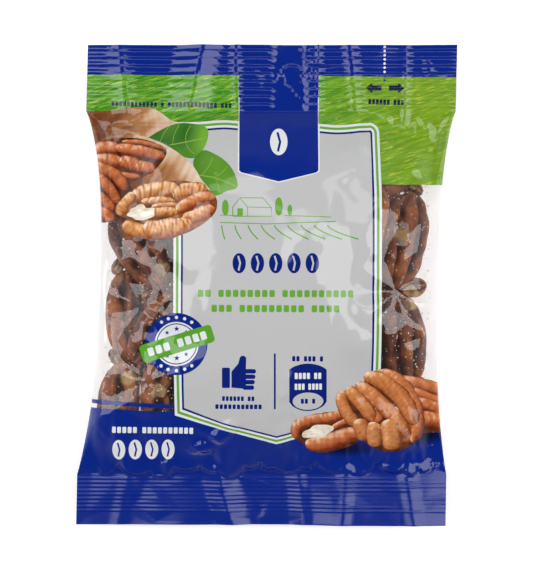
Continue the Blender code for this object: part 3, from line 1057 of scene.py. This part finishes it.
for x, height in ((-13.4, 5.2), (4.0, 6.0), (7.6, 3.6)):
    printed(oval((x, GROUND + 2.2 + height / 2), height / 2, 0.42, 90), LINE_GREEN)

# The title's place holds five plain nuts, and the lines under it hold dashes

for number in range(5):
    pictogram((-8.9 + 5.95 * number, 7.1), 6.6, DEEP_BLUE, PANEL)
words((-22.6, -2.7), (28.6, -2.9), 2.3, (2, 8, 10), LINE_GREEN)
words((-18.2, -7.6), (24.0, -7.8), 2.3, (3, 9, 4), LINE_GREEN)

# The round badge with its plain tilted banner

BADGE = (-29.3, -19.2)
printed(oval(BADGE, 10.1, steps=72), BLUE)
printed(oval(BADGE, 7.2, steps=60), WHITE)
printed(oval(BADGE, 6.7, steps=60), BLUE)
printed(oval(BADGE, 6.35, steps=60), WHITE)
for turn in (55, 72, 90, 108, 125, 235, 252, 270, 288, 305):
    spot = np.array(BADGE) + 8.65 * np.array((math.cos(math.radians(turn)), math.sin(math.radians(turn))))
    printed(oval(spot, 0.55, steps=12), WHITE)
for x, y, radius in (
    (-3.2, 3.6, 0.8), (0.0, 4.9, 1.0), (3.2, 3.9, 0.8), (-3.0, -3.9, 0.8), (0.1, -4.6, 1.0), (3.1, -3.4, 0.8)
):
    printed(star((BADGE[0] + x, BADGE[1] + y), radius), BLUE)
printed(slab((BADGE[0] + 0.2, BADGE[1] + 0.1), 24.4, 5.9, 1.2, 17), LEAF_GREEN)
words((BADGE[0] - 9.6, BADGE[1] - 2.9), (BADGE[0] + 10.0, BADGE[1] + 3.1), 2.7, (3, 4), WHITE)

# A raised thumb and a tall badge, either side of a rule, with dashes for their captions

printed(slab((-13.2, -30.2), 2.6, 6.6, 0.4), DEEP_BLUE)
THUMB = [
    (-11.4, -33.4), (-11.4, -28.2), (-9.2, -25.6), (-8.6, -23.4), (-7.5, -22.9), (-6.6, -23.7), (-6.7, -27.2),
    (-6.7, -33.8),
]
printed(THUMB, DEEP_BLUE)
for number in range(4):
    printed(slab((-5.9, -28.1 - 1.75 * number), 5.0 - 0.4 * number, 1.45, 0.7), DEEP_BLUE)
words((-14.6, -36.9), (-3.8, -37.0), 1.5, (6, 2), DEEP_BLUE)
words((-16.8, -39.5), (-1.4, -39.6), 1.5, (11,), DEEP_BLUE)
printed(slab((2.7, -31.3), 0.62, 18.0, 0.1), DEEP_BLUE)
words((8.2, -24.0), (18.6, -24.1), 1.7, (2, 3, 1), DEEP_BLUE)
dome = [(7.4 + 12.2 * k, -27.6 + 2.0 * math.sin(math.pi * k) ** 0.7) for k in np.linspace(0, 1, 14)]
bowl = [(19.6 - 12.2 * k, -38.0 - 3.0 * math.sin(math.pi * k) ** 0.6) for k in np.linspace(0, 1, 14)]
printed(dome + bowl, DEEP_BLUE)
words((9.0, -29.6), (18.0, -29.6), 2.0, (4, 2), WHITE)
words((9.0, -33.1), (18.2, -33.1), 2.0, (3, 4), WHITE)
printed(oval((13.5, -37.8), 5.0, 0.56), PANEL)
words((11.0, -37.8), (16.0, -37.8), 1.6, (2, 1), DEEP_BLUE)

# White dashes and nuts on the blue, dark dashes on the grass, and the tear line's dots and arrows

words((-50.3, -46.9), (-23.6, -47.4), 2.0, (5, 10), WHITE)
for number in range(4):
    pictogram((-47.9 + 5.3 * number, -53.4), 6.4, WHITE, BLUE)
words((-50.5, 58.9), (-11.2, 58.3), 1.6, (12, 1, 13, 3), NEAR_BLACK)
for number in range(9):
    printed(oval((38.4, 77.4 - 1.35 * number), 0.42, steps=10), WHITE if number < 7 else BLUE)
for way in (-1, 1):
    arrow = np.array([(1.2, 1.1), (4.2, 1.1), (4.2, 2.1), (6.4, 0), (4.2, -2.1), (4.2, -1.1), (1.2, -1.1)])
    printed(arrow * (way, 0.8) + (38.6, 64.0), NEAR_BLACK)
words((33.0, 59.6), (44.8, 59.3), 1.7, (6, 3), NEAR_BLACK)
plain_count = len(layers)

# The pictured nuts and leaves at the upper left: a whole shell, a shell cut open, and three halves

pictured_leaf(
    [(-40, 47.6), (-37.0, 50.2), (-33.5, 51.8), (-28, 52.8), (-23.6, 52.5), (-19.2, 51.6), (-18.8, 48.5),
     (-20.2, 44.5), (-23, 41.0), (-27, 41.5), (-34, 44)],
    [(-31.5, 45.6), (-26.1, 46.6), (-19.8, 47.9)],
    ([(-34.8, 46.6), (-33.6, 49.5), (-31.6, 51.9)], [(-30.6, 46.0), (-30.2, 49), (-28.4, 52.2)],
     [(-26.4, 46.8), (-26.2, 49.5), (-24.6, 52.0)], [(-26.4, 46.6), (-25.4, 44.2), (-23.4, 42.6)]),
    seed=3,
)
pictured_leaf(
    [(-24.4, 39.8), (-22.6, 42.5), (-20.4, 44.3), (-17.0, 42.8), (-13.6, 40.7), (-11.2, 38.0), (-9.6, 34.6),
     (-9.2, 31.4), (-12.6, 30.8), (-15.8, 29.0), (-19.0, 28.6), (-22, 34)],
    [(-22.4, 35.8), (-16.6, 35.0), (-9.6, 32.0)],
    ([(-21.0, 35.9), (-18.6, 38.6), (-17.6, 41.6)], [(-17.0, 35.0), (-14.6, 36.4), (-12.6, 38.6)],
     [(-16.6, 34.9), (-15.6, 32.4), (-15.4, 30.0)]),
    seed=5,
)
pictured_shell(
    [(-70, 57.2), (-57, 56.5), (-52, 56.5), (-47, 57.3), (-41, 57.9), (-36.8, 57.6), (-33.6, 55.6),
     (-31.0, 53.4), (-27.6, 52.8), (-31, 52.2), (-35, 50.4), (-39.5, 47.6), (-46, 46), (-70, 44)],
    pale_end=(-30.5, 54.5), dark_end=(-57, 47.5), seed=11,
)
pictured_shell(
    [(-58, 43), (-54.2, 47.4), (-51.6, 48.8), (-47, 49.3), (-41, 48.9), (-35.8, 47.2), (-30.5, 44.4),
     (-25.8, 40.8), (-22.9, 37.6), (-21.4, 34.4), (-18.0, 31.0), (-18, 27), (-30, 24), (-46, 27), (-60, 34)],
    pale_end=(-26, 41.5), dark_end=(-39, 27.5), seed=13,
)
pictured_body(
    [(-70, 44.5), (-54.9, 46.2), (-51.8, 48.0), (-46, 48.4), (-40, 47.8), (-34.6, 45.8), (-32.0, 43.6),
     (-33.4, 40.4), (-36.4, 37.2), (-40.6, 35.0), (-45.2, 33.4), (-44, 31.6), (-40, 31.4), (-44, 28),
     (-50, 20.8), (-54, 20), (-70, 22)],
    seed=15,
)
pictured_lobes(
    200,
    ([(-47.4, 47.0), (-41.5, 46.9), (-36.5, 45.6), (-32.6, 44.0)], 1.6, 0.2),
    ([(-55.5, 43.6), (-52.6, 45.2), (-48.6, 44.9)], 4.2, 0.15),
    ([(-49.6, 45.2), (-45.0, 44.6), (-39.0, 43.3), (-33.0, 41.6)], 3.9, 0.25),
    ([(-58.0, 39.4), (-52.0, 41.2), (-47.4, 40.2)], 4.3, 0.3),
    ([(-48.4, 40.6), (-45.0, 40.2), (-42.0, 38.6)], 4.5, 0.4),
    ([(-43.0, 38.8), (-40.0, 38.6), (-36.4, 37.6)], 4.0, 0.4),
    ([(-51.0, 36.6), (-46.0, 36.0), (-41.4, 35.4)], 1.9, 0.1),
    ([(-57.5, 39.0), (-52.0, 37.6), (-48.6, 35.4), (-46.0, 31.2)], 3.9, 0.2),
    ([(-57.0, 37.0), (-52.6, 33.4), (-50.4, 30.2), (-48.4, 26.8)], 3.5, 0.3),
    ([(-56.0, 30.4), (-52.4, 27.4), (-50.2, 24.4)], 3.2, 0.3),
    ([(-56.0, 25.0), (-51.8, 23.2), (-50.4, 20.6)], 3.4, 0.2),
)
GOLDEN_HALF = [
    (-49.4, 25.0), (-47.6, 28.6), (-43.0, 31.8), (-39, 33.2), (-33, 33.8), (-25.6, 34.0), (-20.6, 32.2),
    (-16.4, 29.2), (-15.8, 25.6), (-17.4, 22.4), (-21.6, 19.2), (-26.6, 16.6), (-33.0, 14.8), (-40.0, 14.7),
    (-46.4, 17.6), (-47.8, 20.4), (-45.2, 21.6), (-48.4, 22.6),
]
pictured_body(GOLDEN_HALF, seed=17, dark=(0.10, 0.026, 0.008), light=(0.34, 0.12, 0.032))
pictured_lobes(
    300,
    ([(-44.0, 28.6), (-39.0, 30.6), (-33.0, 31.2), (-28.6, 31.2)], 5.4, 0.60, 1.0),
    ([(-30.2, 28.6), (-26.0, 31.0), (-19.4, 31.0)], 5.2, 0.60, 0.8),
    ([(-47.6, 22.6), (-47.2, 26.2), (-43.0, 29.8)], 4.0, 0.35, 0.8),
    ([(-41.0, 27.2), (-36.0, 27.8), (-30.0, 27.4)], 2.2, 0.5, 0.9),
    ([(-40.6, 22.2), (-35.6, 24.2), (-29.0, 23.6)], 3.6, 0.6, 1.0),
    ([(-37.4, 25.6), (-33.0, 26.3), (-28.4, 25.9)], 1.6, 0.2, 0.7),
    ([(-29.4, 24.4), (-24.6, 26.9), (-20.4, 28.8), (-16.8, 28.2)], 4.4, 0.25, 0.25),
    ([(-27.4, 21.6), (-22.6, 22.4), (-17.0, 25.2)], 4.4, 0.3, 0.35),
    ([(-47.0, 19.6), (-42.0, 17.6), (-38.0, 17.4)], 4.9, 0.3, 0.7),
    ([(-40.4, 18.6), (-35.0, 18.0), (-30.0, 18.8), (-24.4, 20.0)], 6.2, 0.60, 0.8),
)
pictured_flesh((-41.2, 23.7), long=4.4, wide=2.3, tilt=5, seed=41)

# The pictured halves at the lower right, over a soft dark shade on the blue


def pictured_shade(centre, long, wide, tilt):
    picture = Picture(centre, long, wide, tilt)

    def ink(places):
        s, t = picture.own(places).T
        return blended(1.25 * (s**2 + t**2), (0.002, 0.004, 0.03), BLUE)

    printed(oval(centre, long, wide / long, tilt), ink)


pictured_shade((25.0, -53.0), long=13.0, wide=3.4, tilt=0)
pictured_shade((52.0, -49.0), long=9.0, wide=3.6, tilt=6)
pictured_body([(40, -30.5), (48, -31), (60, -34), (61, -46.6), (54, -48.4), (42, -48)], seed=19)
pictured_body(
    [(7.6, -46.8), (9.6, -43.6), (13.4, -42.5), (20.5, -41.8), (26, -40.6), (31, -46), (30, -51.6),
     (25.2, -53.2), (20.5, -54.3), (15.6, -54.2), (12.0, -51.6), (9.4, -50.2)],
    seed=21,
)
pictured_lobes(
    400,
    ([(43.0, -30.8), (48.8, -31.9), (54.0, -33.2), (62.0, -36.0)], 4.2, 0.15),
    ([(46.5, -33.9), (51.6, -35.9), (61.0, -39.6)], 2.8, 0.15),
    ([(47.6, -38.0), (52.8, -38.8), (61.0, -42.4)], 3.8, 0.2),
    ([(48.0, -43.4), (54.7, -43.7), (62.0, -46.0)], 5.2, 0.2),
    ([(9.4, -50.0), (9.6, -45.2), (15.4, -43.8), (20.1, -43.4), (26.0, -41.8)], 3.7, 0.16),
    ([(21.0, -47.0), (24.0, -45.2), (28.4, -43.4)], 2.0, 0.2),
    ([(12.6, -51.4), (18.5, -52.0), (23.6, -50.0), (31.0, -47.8)], 5.4, 0.08),
)
pictured_flesh((16.6, -47.7), long=4.7, wide=2.0, tilt=8, seed=57)
BIG_HALF = [
    (32.2, -31.0), (34.4, -28.8), (38.6, -28.2), (42.8, -29.4), (47.0, -32.8), (50.0, -37.6), (51.4, -42.4),
    (51.0, -47.0), (49.0, -50.8), (45.6, -53.0), (41.6, -54.4), (36.4, -53.9), (32.4, -51.6), (29.0, -47.6),
    (25.8, -43.2), (24.2, -38.6), (24.8, -35.6), (27.6, -34.2), (30.4, -33.4),
]
pictured_body(BIG_HALF, seed=23)
pictured_lobes(
    500,
    ([(40.6, -40.6), (44.4, -44.6), (47.0, -50.8)], 7.6, 0.10, 0.10),
    ([(35.6, -28.4), (41.6, -29.9), (46.4, -34.6), (49.2, -40.4), (49.4, -47), (47.2, -51)], 4.6, 0.14, 0.14),
    ([(31.8, -29.4), (37.6, -31.2), (42.6, -35.2), (46.2, -39.6), (48.4, -45.6)], 5.8, 0.18, 0.24),
    ([(29.2, -32.2), (33.8, -35.2), (38.8, -40.0), (43.4, -44.8), (46.4, -49.8)], 4.9, 0.13, 0.26),
    ([(25.2, -34.4), (24.4, -37.6), (25.8, -41.4), (29.6, -46.0)], 4.2, 0.20, 0.42),
    ([(33.4, -40.8), (36.8, -44.6)], 4.4, 0.16, 0.10),
    ([(26.2, -33.6), (29.6, -37.0), (32.8, -40.8), (34.8, -44.0)], 4.6, 0.18, 0.46),
    ([(30.4, -43.6), (30.8, -46.6), (32.8, -50.2)], 5.4, 0.22, 0.34),
    ([(35.2, -44.6), (34.8, -48.6), (35.4, -52.6)], 5.2, 0.12, 0.58),
    ([(39.6, -43.6), (40.6, -48.2), (40.8, -53.6)], 6.6, 0.13, 0.56),
)

# The web's mesh: rows across the bag, joined to every outline of the print, so that each edge of
# ink is an edge of the mesh

ROWS_FOOT, ROWS_BODY, ROWS_HEADER = 104, 150, 76
GATHERS = 5.5 * MM  # the gathers beside the foot seal need its close rows too
COLUMNS_SEAL, COLUMNS_BODY = 110, 150
PICTURE_PITCH = 0.36
MERGE_WITHIN = 1e-3  # points nearer than this many millimetres become one
EVEN_COLUMNS, CLOSING_COLUMNS = 0.78, 0.22  # shares of even and of ever closer spacing
OUTLINE_PITCH, OUTLINE_PITCH_IN_SEAL = 0.75, 0.33
BARE, INKED, GRASSY = 0, 1, 2  # the web's three finishes


def finely(outline):
    """An outline in millimetres of plan, with points added so that it follows every rib and fold."""
    filled = []
    for start, end in zip(outline, np.roll(outline, -1, axis=0)):
        middle_y = (start[1] + end[1]) / 2 * MM
        in_seal = middle_y < FOOT_EDGE or middle_y > HEADER_EDGE
        pitch = OUTLINE_PITCH_IN_SEAL if in_seal else OUTLINE_PITCH
        steps = max(1, math.ceil(math.dist(start, end) / pitch))
        filled.extend(start + (end - start) * k / steps for k in range(steps))
    return np.array(filled)


def within(points, outline):
    """Which points lie inside an outline, by counting the edges to the right of each."""
    low, high = outline.min(0), outline.max(0)
    boxed = np.flatnonzero(((points >= low) & (points <= high)).all(1))
    x, y = points[boxed].T
    odd = np.zeros(len(boxed), bool)
    for (ax, ay), (bx, by) in zip(outline, np.roll(outline, -1, axis=0)):
        if ay == by:
            continue
        crosses = (ay > y) != (by > y)
        odd ^= crosses & (x < ax + (y - ay) * (bx - ax) / (by - ay))
    chosen = np.zeros(len(points), bool)
    chosen[boxed[odd]] = True
    return chosen


def web_rows():
    """How far along the bag each row of the mesh is, and how many points it has."""
    rows = []
    for start, end, count, columns in (
        (FOOT_END, FOOT_EDGE + GATHERS, ROWS_FOOT, COLUMNS_SEAL),
        (FOOT_EDGE + GATHERS, HEADER_EDGE, ROWS_BODY, COLUMNS_BODY),
        (HEADER_EDGE, HEADER_END, ROWS_HEADER, COLUMNS_SEAL),
    ):
        last = end == HEADER_END
        for y in np.linspace(start, end, count + 1)[: None if last else -1]:
            rows.append((y, columns))
    return rows


def web_mesh(name, side, patches, pictured_from):
    """The front or the back of the web, with its ink as corner colours and three finishes."""
    points, edges = [], []
    ends = []
    for y, columns in web_rows():
        u = np.linspace(-1, 1, columns)
        a = EVEN_COLUMNS * u + CLOSING_COLUMNS * np.sin(u * math.pi / 2)
        x = middle(y) + a * half_width(y)
        ends.append((len(points), len(points) + columns - 1))
        points.extend(zip(x / MM, np.full(columns, y / MM)))
    for (left, right), (next_left, next_right) in zip(ends, ends[1:]):
        edges += [(left, next_left), (right, next_right)]
    outlines = [patch[0] / MM for patch in patches]
    for number, outline in enumerate(outlines):
        fine = finely(outline)
        start = len(points)
        points.extend(map(tuple, fine))
        edges.extend((start + i, start + (i + 1) % len(fine)) for i in range(len(fine)))
        if number >= pictured_from:
            low, high = outline.min(0), outline.max(0)
            xs, ys = np.arange(low[0], high[0], PICTURE_PITCH), np.arange(low[1], high[1], PICTURE_PITCH)
            spots = np.stack(np.meshgrid(xs, ys), -1).reshape(-1, 2)
            spots = spots[within(spots, outline)]
            for later in outlines[number + 1 :]:
                spots = spots[~within(spots, later)]
            points.extend(map(tuple, spots))
    flat = geometry.delaunay_2d_cdt([Vector(p) for p in points], edges, [], 0, MERGE_WITHIN)
    plan = np.array([tuple(p) for p in flat[0]]) * MM
    triangles = np.array(flat[2])
    centres = plan[triangles].mean(1)
    kept = np.abs(centres[:, 0] - middle(centres[:, 1])) < half_width(centres[:, 1])
    kept &= (centres[:, 1] > FOOT_END) & (centres[:, 1] < HEADER_END)
    triangles, centres = triangles[kept], centres[kept]
    used, triangles = np.unique(triangles, return_inverse=True)
    triangles = triangles.reshape(-1, 3)
    plan = plan[used]
    heights = film_heights(plan[:, 0], plan[:, 1], side)
    if side < 0:
        triangles = triangles[:, ::-1]
    mesh = bpy.data.meshes.new(name)
    mesh.from_pydata(np.column_stack((plan, heights)).tolist(), [], triangles.tolist())
    inks = np.zeros((len(triangles), 3, 3))
    finishes = np.full(len(triangles), BARE)
    corners = seen_from_above(plan)[triangles]
    for outline, ink in patches:
        chosen = within(centres, outline)
        finishes[chosen] = GRASSY if ink is GRASS else INKED
        if callable(ink):
            inks[chosen] = ink(corners[chosen].reshape(-1, 2)).reshape(-1, 3, 3)
        elif ink is not GRASS:
            inks[chosen] = ink
    colours = mesh.color_attributes.new("ink", "FLOAT_COLOR", "CORNER")
    values = np.ones((len(triangles) * 3, 4))
    values[:, :3] = np.clip(inks, 0, 1).reshape(-1, 3)
    colours.data.foreach_set("color", values.ravel())
    mesh.polygons.foreach_set("material_index", finishes)
    mesh.shade_smooth()
    return set_in_scene(name, mesh)


def bare_film():
    """Clear laminate: what it does not reflect passes through, with a trace of haze."""
    finish = Finish("bare_film")
    fine = finish.noise(700, 3)
    normal = finish.bump(fine, 0.00005, 0.2)
    mirror = finish.node(
        "BsdfPrincipled",
        None,
        {
            "Base Color": (0.75, 0.76, 0.78),
            "Roughness": 0.03 + 0.04 * fine,
            "Metallic": 1.0,
            "Normal": normal,
        },
    )
    veil = finish.node("BsdfDiffuse", None, {"Color": (0.9, 0.9, 0.92)})
    through = finish.node("BsdfTransparent", None, {"Color": (0.97, 0.97, 0.97)})
    hazy = finish.node("MixShader", None, {0: 0.01, 1: through.outputs[0], 2: veil.outputs[0]})
    weight = finish.node("LayerWeight", None, {"Blend": 0.5, "Normal": normal})
    facing = Value(finish, weight.outputs["Facing"])
    gleam = 0.075 + 0.7 * facing * facing * facing * facing
    film = finish.node("MixShader", None, {0: gleam, 1: hazy.outputs[0], 2: mirror.outputs[0]})
    return finish.surface(film)


def glossy_ink(name, colour_of):
    """Ink seen through the laminate's gloss, slightly uneven as pressed film is."""
    finish = Finish(name)
    fine = finish.noise(700, 3)
    broad = finish.noise(60, 2)
    place = finish.node("SeparateXYZ", None, {"Vector": finish.place()})
    along = Value(finish, place.outputs["Y"])
    pressed = 1 - along.over(FOOT_EDGE - 2 * MM, FOOT_EDGE + 4 * MM)
    shader = finish.node(
        "BsdfPrincipled", None,
        {
            "Base Color": colour_of(finish),
            "Roughness": 0.03 + 0.05 * fine + 0.04 * broad + 0.13 * pressed,
            "Specular IOR Level": 0.5,
            "Normal": finish.bump(fine, 0.00005, 0.15),
        },
    )
    return finish.surface(shader)


def ink_colour(finish):
    return finish.attribute("ink", "Color")


BLADE_LEAN, BLADE_STRETCH = math.radians(-17), 9.0


def grass_colour(finish):
    """A field of grass as printed: green, with yellow blades all leaning one way."""
    turned = finish.node("Mapping", None, {"Vector": finish.place(), "Rotation": (0, 0, BLADE_LEAN)})
    drawn = finish.node("Mapping", None, {"Vector": turned.outputs[0], "Scale": (1.0, BLADE_STRETCH, 1.0)})
    blades = finish.noise(210, 5, 0.62, drawn.outputs[0])
    shade = finish.noise(110, 5, 0.6, drawn.outputs[0])
    tone = finish.mix(shade.over(0.3, 0.7), (0.025, 0.20, 0.012), (0.16, 0.42, 0.03))
    parts = finish.node("SeparateXYZ", None, {"Vector": finish.place()})
    dry = Value(finish, parts.outputs["X"]).over(0.0, 0.055)
    tone = finish.mix(dry * 0.45, tone, (0.30, 0.38, 0.02))
    return finish.mix(blades.over(0.57, 0.63) * 0.85, tone, STREAK)


finishes = [bare_film(), glossy_ink("printed_film", ink_colour), glossy_ink("printed_grass", grass_colour)]


def placed(web):
    for finish in finishes:
        web.data.materials.append(finish)
    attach(web, "root")


front = web_mesh("front_web", 1, layers, plain_count)
placed(front)
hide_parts("film_tube", "header_seal", "foot_seal")

# The back's print: the blue at both ends, and rows of small blue dashes either side of the fin

layers.clear()
for inner_edge, outer_edge in ((61.0, OUT_Y), (-48.0, -OUT_Y)):
    band = [(-OUT_X, inner_edge), (OUT_X, inner_edge), (OUT_X, outer_edge), (-OUT_X, outer_edge)]
    printed(band, BLUE)
BACK_ROWS, FIRST_ROW, ROW_PITCH, BACK_COLUMN = 15, 38.0, 5.4, 30.5
random = np.random.default_rng(3)
for column in (-BACK_COLUMN, BACK_COLUMN):
    for row in range(BACK_ROWS):
        y = FIRST_ROW - ROW_PITCH * row
        lengths = [int(n) for n in random.integers(3, 9, 4)]
        reach = 1.05 * (sum(lengths) + 3)
        words((column - reach / 2, y), (column + reach / 2, y), 1.7, lengths, DEEP_BLUE)
back = web_mesh("back_web", -1, layers, len(layers))
placed(back)

# ---------------------------------------------------------------------------------------------
# The fin seal: the web's two edges, sealed face to face with a crimping wheel and folded flat
# under the back. It is clear, with a blue edge, and carries close crimps across it.
# ---------------------------------------------------------------------------------------------

FIN_ROWS, FIN_COLUMNS = 420, 15
FIN_GAP, FIN_THICKNESS, FIN_LEAST = 0.3 * MM, 0.3 * MM, 0.35 * MM
FIN_SHARP = math.radians(50)
CRIMP_PITCH, CRIMP_HEIGHT = 1.3 * MM, 0.16 * MM
(fin_left, fin_start, fin_under), (fin_right, fin_end, _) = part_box("back_fin_seal")


def fin_seal():
    """A thin closed strip that follows the back, crimped on its lower face."""
    rows = np.linspace(fin_start, fin_end, FIN_ROWS)[:, None]
    columns = np.linspace(-1, 1, FIN_COLUMNS)[None, :]
    half = (fin_right - fin_left) / 2 - LEAN * (fin_end - fin_start) / 2
    x = middle(rows) + columns * half * (1 + 0.02 * np.sin(rows * 260 + 2 * columns))
    y = rows * np.ones_like(columns)
    upper = film_heights(x.ravel(), y.ravel(), -1).reshape(x.shape) - FIN_GAP
    upper = np.maximum(upper, fin_under + FIN_LEAST)
    crimp = 0.5 + 0.5 * np.sin(2 * math.pi * y / CRIMP_PITCH)
    lower = np.maximum(upper - FIN_THICKNESS - CRIMP_HEIGHT * crimp * (1 - columns**4), fin_under)
    count = FIN_ROWS * FIN_COLUMNS
    points = np.concatenate([np.stack((x, y, face), -1).reshape(-1, 3) for face in (upper, lower)])
    faces = []
    for row in range(FIN_ROWS - 1):
        for column in range(FIN_COLUMNS - 1):
            a = row * FIN_COLUMNS + column
            b = a + FIN_COLUMNS
            faces.append((a, a + 1, b + 1, b))
            faces.append((count + a, count + b, count + b + 1, count + a + 1))
    around = list(range(FIN_COLUMNS)) + [r * FIN_COLUMNS + FIN_COLUMNS - 1 for r in range(1, FIN_ROWS)]
    around += list(range(FIN_ROWS * FIN_COLUMNS - 2, (FIN_ROWS - 1) * FIN_COLUMNS - 1, -1))
    around += [r * FIN_COLUMNS for r in range(FIN_ROWS - 2, 0, -1)]
    for here, there in zip(around, around[1:] + around[:1]):
        faces.append((here, count + here, count + there, there))
    mesh = bpy.data.meshes.new("fin_seal")
    mesh.from_pydata(points.tolist(), [], faces)
    store(mesh, "edge", np.abs(np.tile(np.broadcast_to(columns, x.shape).ravel(), 2)))
    turn_outward(mesh)
    mesh.shade_smooth()
    mesh.set_sharp_from_angle(angle=FIN_SHARP)
    return set_in_scene("fin_seal", mesh)


def fin_finish():
    finish = Finish("crimped_film")
    tone = finish.mix(finish.attribute("edge").over(0.70, 0.74), (0.62, 0.64, 0.68), BLUE)
    shader = finish.node(
        "BsdfPrincipled", None,
        {"Base Color": tone, "Roughness": 0.12 + 0.10 * finish.noise(600, 3), "Specular IOR Level": 0.5},
    )
    return finish.surface(shader)


fin = fin_seal()
fin.data.materials.append(fin_finish())
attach(fin, "root")
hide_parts("back_fin_seal")

# ---------------------------------------------------------------------------------------------
# The crumbs: flakes of skin and flesh that have rubbed off the halves, and cling to the inside of
# the clear front. They are scattered over it, turned any way, and have no order.
# ---------------------------------------------------------------------------------------------

CRUMB_DENSITY = 160000.0  # crumbs to a square metre
CRUMB_SIZE = 0.30 * MM
CRUMB_EDGE = 0.955  # how far out towards the side folds they lie


def crumb_tree(crumb_finish):
    """Scatters small grains over a mesh, each turned and sized at random, as one plain mesh."""
    tree = bpy.data.node_groups.new("crumbs_on_film", "GeometryNodeTree")
    tree.interface.new_socket("Geometry", in_out="INPUT", socket_type="NodeSocketGeometry")
    for name in ("Density", "Grain Size", "Seed"):
        kind = "NodeSocketInt" if name == "Seed" else "NodeSocketFloat"
        tree.interface.new_socket(name, in_out="INPUT", socket_type=kind)
    tree.interface.new_socket("Geometry", in_out="OUTPUT", socket_type="NodeSocketGeometry")
    nodes, links = tree.nodes, tree.links

    def add(kind, inputs, settings=None):
        return add_node(tree, kind, settings, inputs)

    given = nodes.new("NodeGroupInput").outputs
    scatter = add("GeometryNodeDistributePointsOnFaces",
                  {"Mesh": given["Geometry"], "Density": given["Density"], "Seed": given["Seed"]})
    grain = add("GeometryNodeMeshIcoSphere", {"Radius": given["Grain Size"], "Subdivisions": 1})
    sizes = add("FunctionNodeRandomValue", {0: (0.6, 0.5, 0.25), 1: (1.4, 1.0, 0.5), "Seed": given["Seed"]},
                {"data_type": "FLOAT_VECTOR"})
    turns = add("FunctionNodeRandomValue", {0: (0, 0, 0), 1: (6.28, 6.28, 6.28), "Seed": given["Seed"]},
                {"data_type": "FLOAT_VECTOR"})
    laid = add("GeometryNodeInstanceOnPoints",
               {"Points": scatter.outputs["Points"], "Instance": grain.outputs["Mesh"],
                "Rotation": turns.outputs[0], "Scale": sizes.outputs[0]})
    real = add("GeometryNodeRealizeInstances", {"Geometry": laid.outputs["Instances"]})
    done = add("GeometryNodeSetMaterial", {"Geometry": real.outputs["Geometry"], "Material": crumb_finish})
    links.new(done.outputs["Geometry"], nodes.new("NodeGroupOutput").inputs["Geometry"])
    return tree


def window_patch():
    """The clear parts of the front's inside, as a mesh just under the film."""
    web = front.data
    points = np.array([v.co for v in web.vertices])
    faces = [tuple(p.vertices) for p in web.polygons if p.material_index == BARE]
    used, faces = np.unique(np.array(faces), return_inverse=True)
    points = points[used] - np.array((0, 0, CRUMB_SIZE * 1.2))
    edge = np.abs(across(points[:, 0], points[:, 1]))
    mesh = bpy.data.meshes.new("window_patch")
    faces = faces.reshape(-1, 3)
    kept = (edge[faces] < CRUMB_EDGE).all(1)
    mesh.from_pydata(points.tolist(), [], faces[kept].tolist())
    return set_in_scene("window_patch", mesh)


def crumb_finish():
    finish = Finish("crumb")
    tone = finish.mix(finish.noise(900, 2).over(0.42, 0.58), (0.50, 0.30, 0.16), (0.88, 0.80, 0.66))
    return finish.surface(finish.node("BsdfPrincipled", None, {"Base Color": tone, "Roughness": 0.5}))


patch = window_patch()
scatterer = patch.modifiers.new("crumbs", "NODES")
scatterer.node_group = crumb_tree(crumb_finish())
sockets = scatterer.node_group.interface.items_tree
identifiers = {item.name: item.identifier for item in sockets if item.in_out == "INPUT"}
for name, value in (("Density", CRUMB_DENSITY), ("Grain Size", CRUMB_SIZE), ("Seed", 8)):
    scatterer[identifiers[name]] = value
evaluated = patch.evaluated_get(bpy.context.evaluated_depsgraph_get())
crumb_mesh = bpy.data.meshes.new_from_object(evaluated)
crumb_mesh.name = "crumbs"
bpy.data.objects.remove(patch)
crumbs = set_in_scene("crumbs", crumb_mesh)
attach(crumbs, "root")
